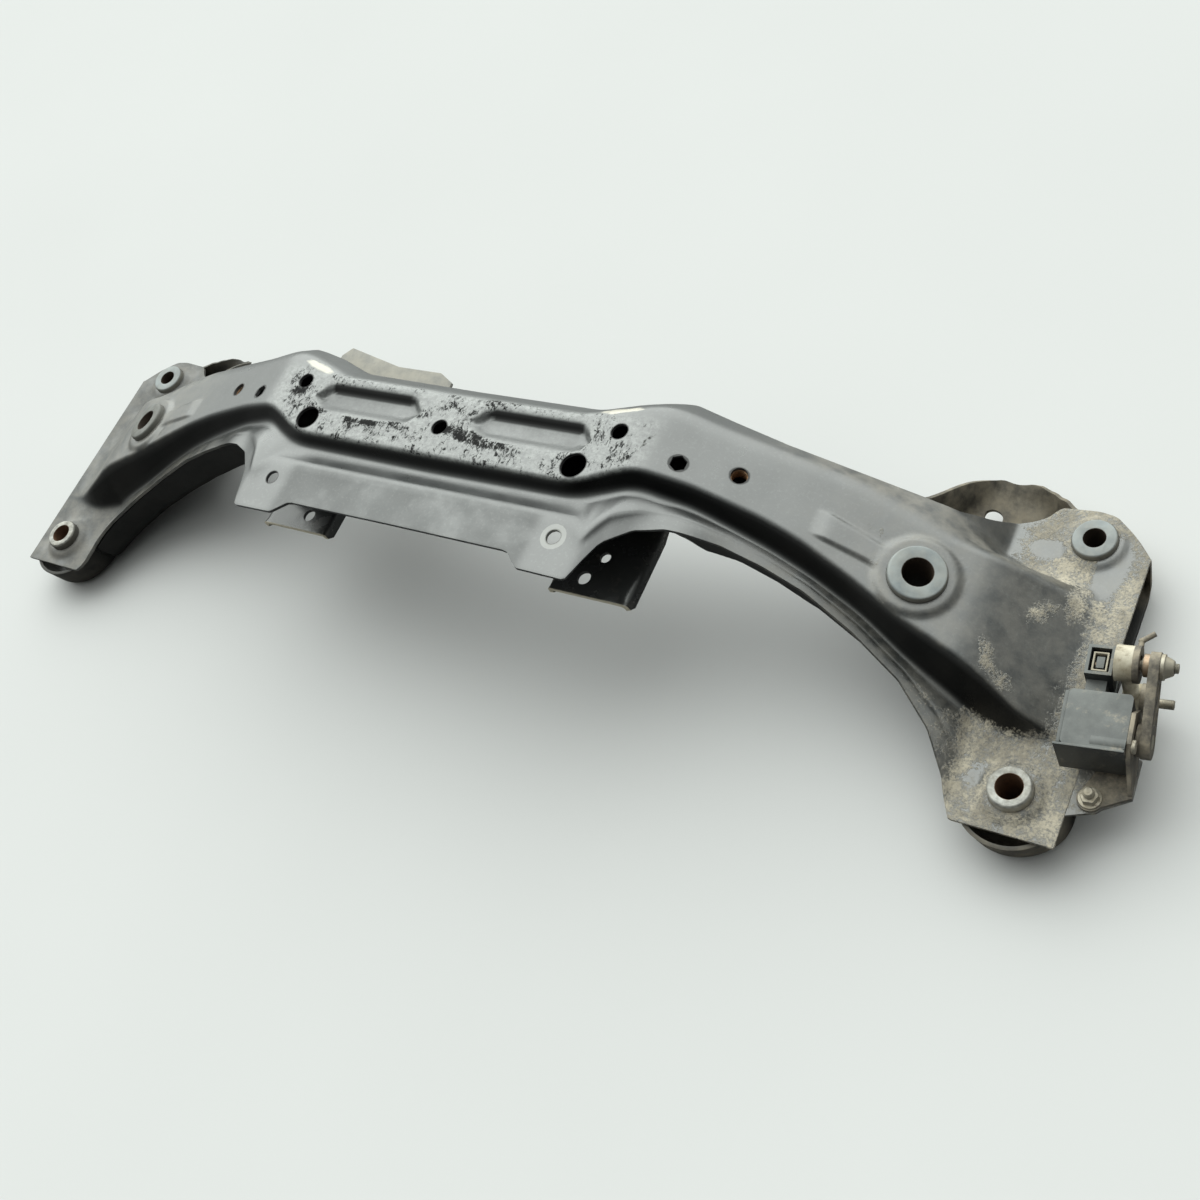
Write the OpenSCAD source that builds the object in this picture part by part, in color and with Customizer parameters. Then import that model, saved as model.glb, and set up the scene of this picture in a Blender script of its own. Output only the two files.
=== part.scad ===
// Front suspension subframe: welded sheet pressings with mounting sleeves,
// brackets under the beam and a ride-height sensor on the right end.
// Right is +X, rear is +Y, up is +Z. The origin lies midway between the seats of the front sleeves.

/* [Pressings] */
// Sheet thickness of the pressings
sheet = 2.6; // [2:0.1:3.2]
// Height of the crown above the front sleeve seats
crown_z = 111; // [100:1:120]
// Half length of the level crown
crown_half = 172; // [168:1:180]
// Height where the leg turns into the end ramp
ramp_z = 33; // [26:1:40]
// Depth of the end plates below the front sleeve seats
plate_drop = 11; // [9:0.5:14]
// Depth of the lower pressing's floor below the front sleeve seats
floor_drop = 42; // [38:0.5:50]
// Depth of the box section in the middle
box_depth = 59; // [54:1:64]
// Outer edge of the end plates, from the front sleeves
plate_over = 34; // [30:1:38]

/* [Front flange] */
// Depth of the valley in front of the crown
valley_depth = 12; // [9:0.5:14]
// Height of the recess step in the middle flange
step_h = 3.5; // [2:0.5:4]
// Distance of each tab from the middle
tab_x = 136; // [130:1:140]
// Width of each tab
tab_w = 40; // [34:1:44]
// Hole in each tab
tab_hole = 11; // [9:0.1:13]

/* [Crown holes] */
// Middle hole
middle_hole = 12.7; // [10:0.1:14]
// Rack holes
rack_hole = 12.7; // [10:0.1:14]
// Distance between the rack holes
rack_span = 296; // [290:1:302]
// Access holes
access_hole = 19.8; // [16:0.1:22]
// Distance between the access holes
access_span = 251; // [246:1:256]
// Hexagon holes, across corners
hex_hole = 12.6; // [10:0.1:14]
// Weld nut holes
nut_hole = 12; // [11.4:0.1:13]
// Length of each stiffening bead
bead_l = 106; // [96:1:110]
// Width of each stiffening bead
bead_w = 26; // [22:1:28]
// Depth of each stiffening bead
bead_depth = 5; // [3:0.5:6]

/* [Sleeves] */
// Distance between the front sleeves
front_span = 900; // [880:1:920]
// Rear sleeves inboard of the front ones
rear_in = 3; // [0:0.5:6]
// Rear sleeves behind the front ones
rear_y = 184.5; // [182:0.5:187]
// Front sleeve bore
front_bore = 17; // [14:0.1:19]
// Front sleeve outer diameter
front_od = 28.5; // [26:0.1:30]
// Rear sleeve bore
rear_bore = 14.4; // [12:0.1:18]
// Rear sleeve outer diameter
rear_od = 30; // [27:0.1:32]
// Rear sleeve seats below the front ones
rear_seat_drop = 4; // [2:0.5:6]
// Distance between the arm collars
collar_span = 726; // [720:1:734]
// Arm collar bore
collar_bore = 20; // [16:0.1:24]
// Arm collar outer diameter
collar_od = 39; // [34:0.1:42]
// Height of the arm collar above its pad
collar_rise = 7; // [5:0.5:10]
// Ends of the body sleeves below the lower pressing
sleeve_proud = 0.8; // [0.5:0.1:2]

/* [Brackets] */
// Sheet of the brackets
bracket_t = 3; // [2.5:0.1:3.5]
// Lower tab bolt hole
bracket_hole = 10.6; // [9:0.1:12]
// Second bracket hole
bracket_hole2 = 8.5; // [7:0.1:10]
// Depth of the turned-down sides
bracket_lip = 11; // [8:0.5:13]

/* [Height sensor] */
// Turn of the sensor about the vertical
sensor_yaw = 7; // [0:0.5:9]
// Housing width
housing_w = 39.6; // [36:0.2:42]
// Housing depth
housing_d = 36.5; // [34:0.5:38]
// Housing height
housing_h = 32; // [29:0.5:34]
// Lever length between shaft and ball
lever_l = 44.5; // [42:0.5:46]
// Lever angle above the horizontal
lever_angle = 24; // [18:1:30]
// Lever thickness
lever_t = 6; // [5:0.5:7]
// Shaft diameter
shaft_d = 9; // [7:0.1:10]
// Link length between its balls
link_l = 50; // [46:0.5:54]
// Ball diameter
ball_d = 10; // [9:0.1:11]
// Socket outer diameter
socket_d = 22; // [19:0.5:23]

/* [Hidden] */

$fn = 64;
fit = 0.2;            // clearance of pieces that are welded or clamped
seat_gap = 0.5;       // clearance between the pressings
run_fit = 0.05;       // radial clearance of the turning shaft
ball_fit = 0.3;       // clearance round each ball
cut = 1;              // overshoot of cutting tools

end_x = front_span / 2;
plate_z = -plate_drop;
floor_z = -floor_drop;
rear_x = end_x - rear_in;
outer_x = end_x + plate_over;
ramp_in = 45;         // the ramp starts this far inboard of the front sleeves
ramp_x = end_x - ramp_in;
ramp_end = end_x + 17;
leg_fall = (crown_z - ramp_z) / (ramp_x - crown_half);
leg_tilt = atan(leg_fall);
tab_in = tab_x - tab_w / 2;
tab_out = tab_x + tab_w / 2;

// Section heights and edges along the beam

// Place along the leg: 0 at the crown's end, 1 where the ramp starts
function leg(k) = crown_half + k * (ramp_x - crown_half);
// Place on the end plate, from the front sleeve outwards
function end(d) = end_x + d;
// Broken line through points, softened over a distance r each way
function soft(u, line, r) = (lookup(u - r, line) + 2 * lookup(u - r / 2, line)
    + 2 * lookup(u, line) + 2 * lookup(u + r / 2, line) + lookup(u + r, line)) / 8;

function top_z(u) = soft(u, [[-crown_half, crown_z], [crown_half, crown_z], [ramp_x, ramp_z],
    [ramp_end, plate_z], [outer_x + 40, plate_z]], 12);
function above_plate(z) = max(plate_z, z);

flange_y = 33;        // front edge of the flange between the tabs
tab_y = 22;           // front edge of the tabs
plate_front = -27;    // front edge of the end plates
front_edge = [[0, flange_y], [tab_in - 13, flange_y], [tab_in, tab_y], [tab_out, tab_y],
    [tab_out + 4, 35], [leg(-0.02), 55], [leg(0.05), 72], [leg(0.13), 80], [leg(0.28), 84.5],
    [leg(0.4), 82], [leg(0.53), 76], [leg(0.68), 63], [leg(0.83), 45], [leg(0.94), 22],
    [end(-42), -3], [end(-33), plate_front], [outer_x, plate_front]];
edge_drop = [[0, 5.5], [tab_in, 6.5], [tab_out, 8], [leg(0.05), 12], [leg(0.18), 9],
    [leg(0.28), 15], [leg(0.53), 20], [leg(0.83), 30], [leg(1), 34], [end(-32), 40]];
function edge_y(u) = lookup(u, front_edge);
function edge_z(u) = above_plate(top_z(u) - soft(u, edge_drop, 10));

valley_line = [[0, 84.5], [130, 86], [150, 91], [crown_half, 103], [leg(0.16), 104], [leg(0.28), 101],
    [leg(0.4), 97], [leg(0.53), 90], [leg(0.68), 79], [leg(0.83), 62], [leg(1), 47],
    [end(-15), 36], [end(0), 38], [outer_x, 40]];
valley_fall = [[0, valley_depth], [150, valley_depth], [leg(0.02), valley_depth + 2.5], [leg(0.28), 17],
    [leg(0.53), 22], [leg(0.83), 33], [leg(1), 40], [end(0), 44]];
function valley_y(u) = soft(u, valley_line, 10);
function valley_z(u) = above_plate(top_z(u) - soft(u, valley_fall, 10));

crown_front = [[0, 91.5], [124, 91.5], [140, 97], [156, 106], [170, 111], [leg(0.17), 112],
    [leg(0.26), 110], [leg(0.38), 107], [leg(0.5), 101], [leg(0.66), 88], [leg(0.82), 73],
    [leg(0.9), 68], [leg(1), 61], [end(-25), 54], [end(-8), 46], [outer_x, 44]];
crown_rear = [[0, 147], [112, 147], [140, 155], [165, 163], [leg(0.06), 164], [leg(0.2), 160],
    [leg(0.6), 156], [leg(0.75), 147], [leg(0.85), 141], [leg(1), 138], [outer_x, 136]];
rear_foot = [[0, 164], [112, 164], [145, 174], [leg(0.04), 181], [leg(0.18), 176], [leg(0.34), 171],
    [leg(0.77), 168], [leg(0.88), 168], [leg(0.94), 164], [end(-36), 156], [end(16), 148], [outer_x, 147]];
rear_fall = [[0, 21], [leg(0), 19], [leg(0.34), 12], [leg(0.77), 16], [leg(0.83), 20], [leg(0.89), 33],
    [leg(0.94), 49], [leg(1), 50]];
rear_edge = [[0, 165], [112, 165], [145, 175], [leg(0.04), 182], [leg(0.18), 177], [leg(0.34), 172],
    [leg(0.77), 169], [leg(0.83), 170], [leg(0.89), 178], [leg(0.94), 188], [end(-46), 193],
    [end(-37), 199], [end(-33), 207], [end(-7), 209], [end(5), 207], [end(20), 195], [outer_x, 179]];
function crown_front_y(u) = soft(u, crown_front, 8);
function crown_rear_y(u) = soft(u, crown_rear, 10);
function rear_foot_y(u) = soft(u, rear_foot, 8);
function rear_foot_z(u) = above_plate(top_z(u) - soft(u, rear_fall, 8));
function rear_edge_y(u) = lookup(u, rear_edge);
function rear_edge_z(u) = max(plate_z, rear_foot_z(u) - 2 * (rear_foot_z(u) - plate_z) / crown_z);

// Height of the flange's recess between the tabs
step_line = [[0, step_h], [tab_in - 10, step_h], [tab_in - 5, 0]];
ridge_line = [[0, 68], [130, 68], [150, 66]];
ridge_rise = [[0, 6.2], [150, 6.2], [leg(0.1), 1], [leg(0.5), 0]];

// Stiffening beads, pressed down between the crown holes
bead_at = [77, 131.5];
bead_foot = 9;        // width of a bead's floor
function bead_end(u, w) = sqrt(max(0, pow(w / 2, 2) - pow(max(0, abs(u - bead_at[0]) - (bead_l - bead_w) / 2), 2)));
function bead_fall(u) = bead_depth * min(1, bead_end(u, bead_w) / bead_foot);

// Corners of the upper pressing's section, from the front edge to the rear edge
function upper_corners(u) =
    let (ey = edge_y(u), ez = edge_z(u), vy = valley_y(u), vz = valley_z(u))
    let (mid_y = u < 150 ? lookup(u, ridge_line) : ey + 0.55 * (vy - ey))
    let (mid_z = ez + (vz - ez) * 0.4 + lookup(u, ridge_rise))
    let (low = lookup(u, step_line), top = top_z(u))
    let (half = max(bead_end(u, bead_w), 2), floor_half = max(bead_end(u, bead_foot), 1), fall = bead_fall(u))
    [[ey, ez], [ey + 0.62 * (mid_y - ey), ez + 0.5 * (mid_z - low - ez)],
        [ey + 0.8 * (mid_y - ey), mid_z - 0.05 * low], [mid_y, mid_z], [vy, vz], [crown_front_y(u), top],
        [bead_at[1] - half, top], [bead_at[1] - floor_half, top - fall],
        [bead_at[1] + floor_half, top - fall], [bead_at[1] + half, top],
        [crown_rear_y(u), top], [rear_foot_y(u), rear_foot_z(u)], [rear_edge_y(u), rear_edge_z(u)]];

// Setback and number of points of each rounded corner
upper_radii = [0, 0, 0, 4, 5, 5, 0, 0, 0, 0, 9, 0, 0];
upper_steps = [1, 1, 1, 2, 2, 2, 1, 1, 1, 1, 3, 1, 1];

// Rounded corners, offsets and lofts

function unit(v) = v / max(norm(v), 0.001);
// Points on the curve that rounds corner b between a and c, set back by r
function corner(a, b, c, r, n) =
    let (back = min(r, 0.45 * norm(a - b), 0.45 * norm(c - b)))
    let (p = b + unit(a - b) * back, q = b + unit(c - b) * back)
    n == 1 ? [b] : [for (i = [0:n - 1]) let (t = i / (n - 1))
        p * pow(1 - t, 2) + b * 2 * t * (1 - t) + q * pow(t, 2)];
function rounded(c, r, n) = [c[0],
    for (i = [1:len(c) - 2]) each corner(c[i - 1], c[i], c[i + 1], r[i], n[i]), c[len(c) - 1]];
// Point i of a line moved off it to the right by d
function beside(line, i, d) =
    let (a = line[max(i - 1, 0)], b = line[min(i + 1, len(line) - 1)], t = unit(b - a))
    line[i] + d * [t[1], -t[0]];
// Closed ring of a sheet that lies under the line
function sheet_ring(line, d) =
    concat(line, [for (i = [len(line) - 1:-1:0]) beside(line, i, d)]);

// Solid through sheet rings of equal point counts, with mirrored diagonals on its two halves
module loft(rings) {
    n = len(rings[0]);
    last = len(rings) - 1;
    sides = [for (k = [0:last - 1], i = [0:n - 1])
        let (a = k * n + i, b = k * n + (i + 1) % n)
        each k < last / 2 ? [[a, b, b + n], [a, b + n, a + n]] : [[a, b, a + n], [b, b + n, a + n]]];
    first_cap = [for (i = [0:n / 2 - 2]) let (a = n - 1 - i) each [[a, a - 1, i + 1], [a, i + 1, i]]];
    last_cap = [for (f = first_cap) [for (i = [2:-1:0]) f[i] + last * n]];
    polyhedron([for (r = rings) each r], concat(sides, first_cap, last_cap));
}

// Stations of one half, mirrored to the whole length
function both(half) = concat([for (i = [len(half) - 1:-1:0]) -half[i]], half);

function sorted(v) = len(v) < 2 ? v : let (p = v[floor(len(v) / 2)])
    concat(sorted([for (x = v) if (x < p) x]), [p], sorted([for (x = v) if (x > p) x]));

function spaced(a, b, n) = [for (i = [0:n - 1]) a + i * (b - a) / n];

bead_stations = [for (a = [180, 125]) bead_at[0] - (bead_l - bead_w) / 2 + bead_w / 2 * cos(a)];
upper_half = sorted(concat([1], bead_stations, [for (x = bead_stations) 2 * bead_at[0] - x],
    [tab_in - 8, tab_in - 2, tab_out - 2, tab_out + 3], spaced(tab_out + 8, leg(0.2), 3),
    spaced(leg(0.2), leg(0.8), 4), spaced(leg(0.8), end(-33), 6),
    [end(-33), end(-24), end(-12), end(0), end(10), end(18), outer_x]));

module upper_sheet() {
    loft([for (x = both(upper_half))
        [for (p = sheet_ring(rounded(upper_corners(abs(x)), upper_radii, upper_steps), sheet)) [x, p[0], p[1]]]]);
}

// Places on the legs

// Moves children to the leg's surface, with +Z square to it
module on_leg(x, y) {
    translate([x, y, top_z(abs(x))]) rotate([0, sign(x) * leg_tilt, 0]) children();
}

module sides() {
    children();
    mirror([1, 0, 0]) children();
}

crown_mid_y = 116;
rack_y = 137;
access_y = 104.5;
hex_at = [197.5, 125];
nut_at = [237, 131];
collar_at = [collar_span / 2, 104.5];
tab_hole_at = [tab_x - 3, 51];

module round_cut(d, depth) {
    translate([0, 0, -depth]) cylinder(d = d, h = 2 * depth);
}

module crown_cuts() {
    translate([0, crown_mid_y, crown_z]) round_cut(middle_hole, 9);
    sides() {
        translate([rack_span / 2, rack_y, crown_z]) round_cut(rack_hole, 9);
        translate([access_span / 2, access_y, crown_z]) round_cut(access_hole, 9);
        on_leg(hex_at[0], hex_at[1]) cylinder(d = hex_hole, h = 18, center = true, $fn = 6);
        on_leg(nut_at[0], nut_at[1]) round_cut(nut_hole, 9);
        on_leg(collar_at[0], collar_at[1]) round_cut(collar_od + 2 * fit, 20);
        translate([tab_hole_at[0], tab_hole_at[1], crown_z]) round_cut(tab_hole, 20);
        translate([end_x, 0, plate_z]) round_cut(front_od + 2 * fit, 20);
        translate([rear_x, rear_y, plate_z]) round_cut(rear_od + 2 * fit, 20);
    }
}

module upper_shell() {
    color("slategray") difference() {
        upper_sheet();
        crown_cuts();
    }
}

// Lower pressings: a level trough under the middle, and two ends that slope down with the legs
// and widen into a cup round each front sleeve and a dish behind each leg

mid_floor = crown_z - box_depth;
cup_r = 36;
hidden_wall = 1;      // the front wall stands this far behind the valley in the middle
flush = 0.5;          // the front wall stands this far behind the flange edge on the legs
floor_line = [[-leg(0.08), mid_floor], [leg(0.08), mid_floor], [end(-22), floor_z], [outer_x + 40, floor_z]];
function floor_at(u) = soft(u, floor_line, 14);
// Share of the flange edge in the place of the front wall: 0 in the middle, 1 on the legs
function on_edge(u) = lookup(u, [[crown_half - 10, 0], [leg(0.18), 1]]);
function cup_y(u) = -sqrt(max(0, pow(cup_r - sheet, 2) - pow(u - end_x, 2)));
function wall_y(u) = u > end(-43) ? cup_y(u)
    : (1 - on_edge(u)) * (valley_y(u) - hidden_wall) + on_edge(u) * (edge_y(u) + sheet + flush);
function wall_z(u) = (1 - on_edge(u)) * valley_z(u) + on_edge(u) * edge_z(u) - sheet - seat_gap;
dish_y = [[leg(0.75), 8], [leg(0.79), 36], [leg(0.84), 56], [leg(0.96), 39], [end(-38), 24], [end(-33), 11],
    [end(-20), 1.5], [outer_x, 1.5]];
dish_drop = [[leg(0.72), 0], [leg(0.75), 3], [leg(0.79), 19], [leg(0.84), 34], [leg(0.9), 20], [leg(0.95), 3],
    [outer_x, 2]];
function rim_y(u) = rear_edge_y(u) - sheet - seat_gap + lookup(u, concat([[leg(0.72), 0]], dish_y));
function rim_z(u) = rear_edge_z(u) - sheet - seat_gap - lookup(u, dish_drop);
wall_draft = [[0, 13], [leg(0.2), 11], [leg(0.5), 6], [outer_x, 5]];
rim_draft = [[0, 8], [leg(0.7), 8], [leg(0.84), 16], [end(-20), 6], [outer_x, 6]];

function lower_corners(u) =
    [[wall_y(u), wall_z(u)], [wall_y(u) + lookup(u, wall_draft), floor_at(u)],
        [rim_y(u) - lookup(u, rim_draft), floor_at(u)], [rim_y(u), max(rim_z(u), floor_at(u) + 5)]];
lower_radii = [0, 8, 8, 0];
lower_steps = [1, 3, 3, 1];

lower_seam = leg(0.14);   // the middle and the ends are welded here
middle_half = sorted(concat([30, 90, 140], spaced(crown_half - 12, lower_seam - fit, 4), [lower_seam - fit]));
end_stations = sorted(concat(spaced(lower_seam + fit, leg(0.72), 7), spaced(leg(0.72), leg(0.84), 7),
    [leg(0.84), leg(0.9), leg(0.96), end(-42)], [for (a = [170:-15:20]) end((cup_r - sheet) * cos(a)), outer_x]));

module lower_sheet(stations) {
    loft([for (x = stations)
        [for (p = sheet_ring(rounded(lower_corners(abs(x)), lower_radii, lower_steps), sheet)) [x, p[0], p[1]]]]);
}

module lower_middle() {
    color("dimgray") lower_sheet(both(middle_half));
}

drain_at = [leg(0.86), 196];
drain_d = 12;

module lower_end() {
    color("dimgray") difference() {
        lower_sheet(end_stations);
        translate([end_x, 0, floor_z]) round_cut(front_od + 2 * fit, 3 * sheet);
        translate([rear_x, rear_y, floor_z]) round_cut(rear_od + 2 * fit, 3 * sheet);
        translate([drain_at[0], drain_at[1], floor_at(drain_at[0])]) round_cut(drain_d, 12);
        on_leg(collar_at[0], collar_at[1]) translate([0, 0, -collar_depth]) round_cut(collar_bore + 4, 12);
    }
}

// Sleeves and collars

module tube(od, bore, h) {
    difference() {
        cylinder(d = od, h = h);
        translate([0, 0, -cut]) cylinder(d = bore, h = h + 2 * cut);
    }
}

rim_chamfer = 2;

module sleeve(od, bore, h) {
    difference() {
        union() {
            cylinder(d = od, h = h - rim_chamfer);
            translate([0, 0, h - rim_chamfer]) cylinder(d1 = od, d2 = od - rim_chamfer, h = rim_chamfer);
        }
        translate([0, 0, -cut]) cylinder(d = bore, h = h + 2 * cut);
    }
}

// The sleeves pass through both pressings, and the frame rests on their lower ends
sleeve_z = floor_z - sheet - sleeve_proud;

module front_sleeve(s) {
    color("silver") translate([s * end_x, 0, sleeve_z]) sleeve(front_od, front_bore, -sleeve_z);
}

module rear_sleeve(s) {
    color("gray") translate([s * rear_x, rear_y, sleeve_z])
        sleeve(rear_od, rear_bore, -rear_seat_drop - sleeve_z);
}

collar_depth = (top_z(collar_at[0]) - floor_at(collar_at[0])) * cos(leg_tilt);
collar_clear = 4;     // the collar ends this far above the floor
collar_l = collar_depth - collar_clear + collar_rise;

module arm_collar(s) {
    color("gray") on_leg(s * collar_at[0], collar_at[1]) translate([0, 0, collar_clear - collar_depth])
        sleeve(collar_od, collar_bore, collar_l);
}

nut_af = 19;
nut_h = 9;
nut_thread = 10.2;

module hex_nut(af, bore, h) {
    difference() {
        cylinder(d = af / cos(30), h = h, $fn = 6);
        translate([0, 0, -cut]) cylinder(d = bore, h = h + 2 * cut);
    }
}

module weld_nuts() {
    color("peru") sides() on_leg(nut_at[0], nut_at[1]) translate([0, 0, -sheet - nut_h])
        hex_nut(nut_af, nut_thread, nut_h);
}

// Brackets under the floor of the lower pressing

bracket_z = mid_floor - sheet - fit;
bracket_in = tab_x - 28;
bracket_out = tab_x + 39;
bracket_front = 37;
bracket_rear = 118;
bracket_radii = [0, 4, 10, 0];
bracket_steps = [1, 3, 3, 1];

function bracket_corners(y) =
    let (lip = bracket_lip * lookup(y, [[bracket_front, 0.55], [bracket_front + 5, 1], [95, 1], [bracket_rear, 0.4]]))
    [[bracket_in, bracket_z - lip], [bracket_in, bracket_z], [bracket_out, bracket_z],
        [bracket_out + 1, bracket_z - lip]];

module front_bracket() {
    hole2_at = [tab_hole_at[0] + 9, tab_hole_at[1] + 19];
    color("black") difference() {
        loft([for (y = [bracket_rear, 95, bracket_front + 5, bracket_front])
            [for (p = sheet_ring(rounded(bracket_corners(y), bracket_radii, bracket_steps), bracket_t)) [p[0], y, p[1]]]]);
        translate([tab_hole_at[0], tab_hole_at[1], bracket_z]) round_cut(bracket_hole, 2 * bracket_t);
        translate([hole2_at[0], hole2_at[1], bracket_z]) round_cut(bracket_hole2, 2 * bracket_t);
    }
}

shelf_lip = 10;
shelf_in = 68;
shelf_out = 195;
shelf_front = 138;
shelf_rear = 202;
shelf_tip = 12;       // the outer tip stands this far behind the rear edge
lip_out = shelf_out - 66;
lip_in = shelf_in + 16;
level_x = leg(0.08) - 16;     // the lower pressing's floor is level up to here

module rear_bracket() {
    color("tan") translate([0, 0, bracket_z - bracket_t]) {
        linear_extrude(bracket_t)
            polygon([[-level_x, shelf_front], [-level_x, shelf_rear - 14], [-shelf_out, shelf_rear - 10],
                [-shelf_out, shelf_rear + 3], [-shelf_out + 7, shelf_rear + shelf_tip], [-lip_out, shelf_rear],
                [-lip_in, shelf_rear], [-shelf_in, shelf_rear - 8], [-shelf_in, shelf_front]]);
        translate([-lip_out, shelf_rear - bracket_t, -shelf_lip]) cube([lip_out - lip_in, bracket_t, shelf_lip]);
    }
}

// Height sensor, in its own frame at the stud on the right end plate's ear

stud_at = [end_x + 45.7, 8.8];
ear_r = 8.4;
stud_d = 6;
foot_t = 2.5;
leg_in = housing_w / 2 + 1;
leg_out = leg_in + foot_t;
leg_h = 44;
housing_y = 17;
housing_z = 9;
shaft_y = 33;
shaft_z = 23;
hub_r = 11;
hub_gap = 0.5;
lever_x = leg_out + 3.2;
screw_d = 4;
screw_head_d = 8.4;
screw_head_h = 2.4;
screw_spots = [[22.5, 36], [46.5, 14]];
ball_x = 12.5;
ball_y = shaft_y + lever_l * cos(lever_angle);
ball_z = shaft_z + lever_l * sin(lever_angle);
mouth_x = ball_x + 5;
ring_w = 3.6;
neck_d = 6;

module at_sensor() {
    translate([stud_at[0], stud_at[1], plate_z]) rotate([0, 0, sensor_yaw]) children();
}

// Cylinder along X that starts at x
module along_x(x, y, z, d, l) {
    translate([x, y, z]) rotate([0, 90, 0]) cylinder(d = d, h = l);
}

// Ear welded to the outer edge of the right end plate
module sensor_ear() {
    color("slategray") difference() {
        translate([0, 0, plate_z - sheet]) linear_extrude(sheet) {
            translate(stud_at) circle(ear_r);
            polygon([[outer_x + fit, -5], stud_at + [1.5, -ear_r + 0.2], stud_at + [leg_out - 0.5, 7],
                stud_at + [leg_out - 2, 33], [outer_x + fit, 46]]);
        }
        translate([stud_at[0], stud_at[1], plate_z]) round_cut(stud_d + 2 * fit, sheet + cut);
    }
}

module sensor_bracket() {
    color("dimgray") at_sensor() difference() {
        union() {
            cylinder(r = ear_r - 0.4, h = foot_t);
            linear_extrude(foot_t) polygon([[0, -ear_r + 0.6], [leg_out, 4], [leg_out, 36], [leg_in - 12, 36], [-6, 5]]);
            translate([leg_in, 0, 0]) rotate([90, 0, 90]) linear_extrude(foot_t)
                polygon([[4, 0], [36, 0], [51, 10], [51, 26], [42, leg_h - 3], [22, leg_h - 3], [15, 34]]);
        }
        translate([0, 0, -cut]) cylinder(d = stud_d + 2 * fit, h = foot_t + 2 * cut);
        along_x(leg_in - cut, shaft_y, shaft_z, shaft_d + 4, foot_t + 2 * cut);
        for (p = screw_spots) along_x(leg_in - cut, p[0], p[1], screw_d + 2 * fit, foot_t + 2 * cut);
    }
}

stud_up = 14;
stud_head_h = 2;
stud_head_d = 12;
bolt_nut_h = 5;
bolt_nut_af = 10;
bolt_flange_d = 14;
bolt_flange_h = 1.4;

module bracket_stud() {
    color("silver") at_sensor() {
        translate([0, 0, -sheet - stud_head_h]) cylinder(d = stud_head_d, h = stud_head_h);
        translate([0, 0, -sheet]) cylinder(d = stud_d, h = sheet + stud_up);
    }
}

module bracket_nut() {
    color("tan") at_sensor() translate([0, 0, foot_t]) {
        difference() {
            union() {
                cylinder(d = bolt_flange_d, h = bolt_flange_h);
                translate([0, 0, bolt_flange_h]) cylinder(d = bolt_nut_af / cos(30), h = bolt_nut_h, $fn = 6);
            }
            translate([0, 0, -cut]) cylinder(d = stud_d + fit, h = bolt_nut_h + bolt_flange_h + 2 * cut);
        }
    }
}

corner_r = 3;

module rounded_square(w, d, r) {
    translate([r, 0]) square([w - 2 * r, d]);
    translate([0, r]) square([w, d - 2 * r]);
    for (x = [r, w - r], y = [r, d - r]) translate([x, y]) circle(r, $fn = 32);
}

cover_t = 2.5;
housing_x = leg_in - fit - housing_w;
plug_w = 16;
plug_d = 20;
plug_h = 26;
plug_wall = 2;
plug_depth = 14;
plug_x = -11;
plug_y = housing_y + housing_d + 12.5;
plug_z = 12;

module sensor_housing() {
    color("darkslategray") at_sensor() difference() {
        union() {
            translate([housing_x + cover_t, housing_y, housing_z]) linear_extrude(housing_h)
                rounded_square(housing_w - cover_t, housing_d, corner_r);
            translate([plug_x + 1, housing_y + housing_d - 1, plug_z + 2]) cube([plug_w - 4, 14, plug_h - 10]);
            translate([plug_x, plug_y, plug_z]) cube([plug_w, plug_d, plug_h]);
            along_x(leg_in - fit - 20, screw_spots[0][0] - 1, screw_spots[0][1] + 1.5, 9, 20);
        }
        along_x(leg_in - 15, shaft_y, shaft_z, shaft_d + 2 * run_fit, 16);
        for (p = screw_spots) along_x(leg_in - 12, p[0], p[1], screw_d + fit, 13);
        translate([plug_x + plug_wall, plug_y + plug_wall, plug_z + plug_h - plug_depth])
            cube([plug_w - 2 * plug_wall, plug_d - 2 * plug_wall, plug_depth + cut]);
    }
}

module sensor_cover() {
    color("black") at_sensor() translate([housing_x, housing_y + 1, housing_z + 1])
        cube([cover_t, housing_d - 2, housing_h - 2]);
}

module connector_terminals() {
    color("gold") at_sensor() for (i = [-1:1])
        translate([plug_x + plug_w / 2 + i * 3.2, plug_y + plug_d / 2, plug_z + plug_h - plug_depth])
            translate([-0.4, -1.2, 0]) cube([0.8, 2.4, plug_depth - 6]);
}

module housing_screws() {
    color("silver") at_sensor() for (p = screw_spots) {
        along_x(leg_in - 10, p[0], p[1], screw_d, 10 + foot_t);
        along_x(leg_out, p[0], p[1], screw_head_d, screw_head_h);
    }
}

module sensor_shaft() {
    color("silver") at_sensor() along_x(leg_in - 14, shaft_y, shaft_z, shaft_d, 14 + lever_x + lever_t - leg_in);
}

// Lever in its own plane: shaft at the origin, ball stud along +X of the plane
lever_end_r = 8.8;

module lever_outline() {
    hull() {
        circle(hub_r, $fn = 32);
        translate([lever_l, 0]) circle(lever_end_r, $fn = 32);
    }
}

module slot(a, b, w) {
    translate([a, -w / 2]) square([b - a, w]);
    for (x = [a, b]) translate([x, 0]) circle(w / 2, $fn = 32);
}

module at_lever() {
    at_sensor() translate([lever_x, shaft_y, shaft_z]) rotate([lever_angle, 0, 0]) rotate([90, 0, 90]) children();
}

slot_depth = 2;

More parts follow.
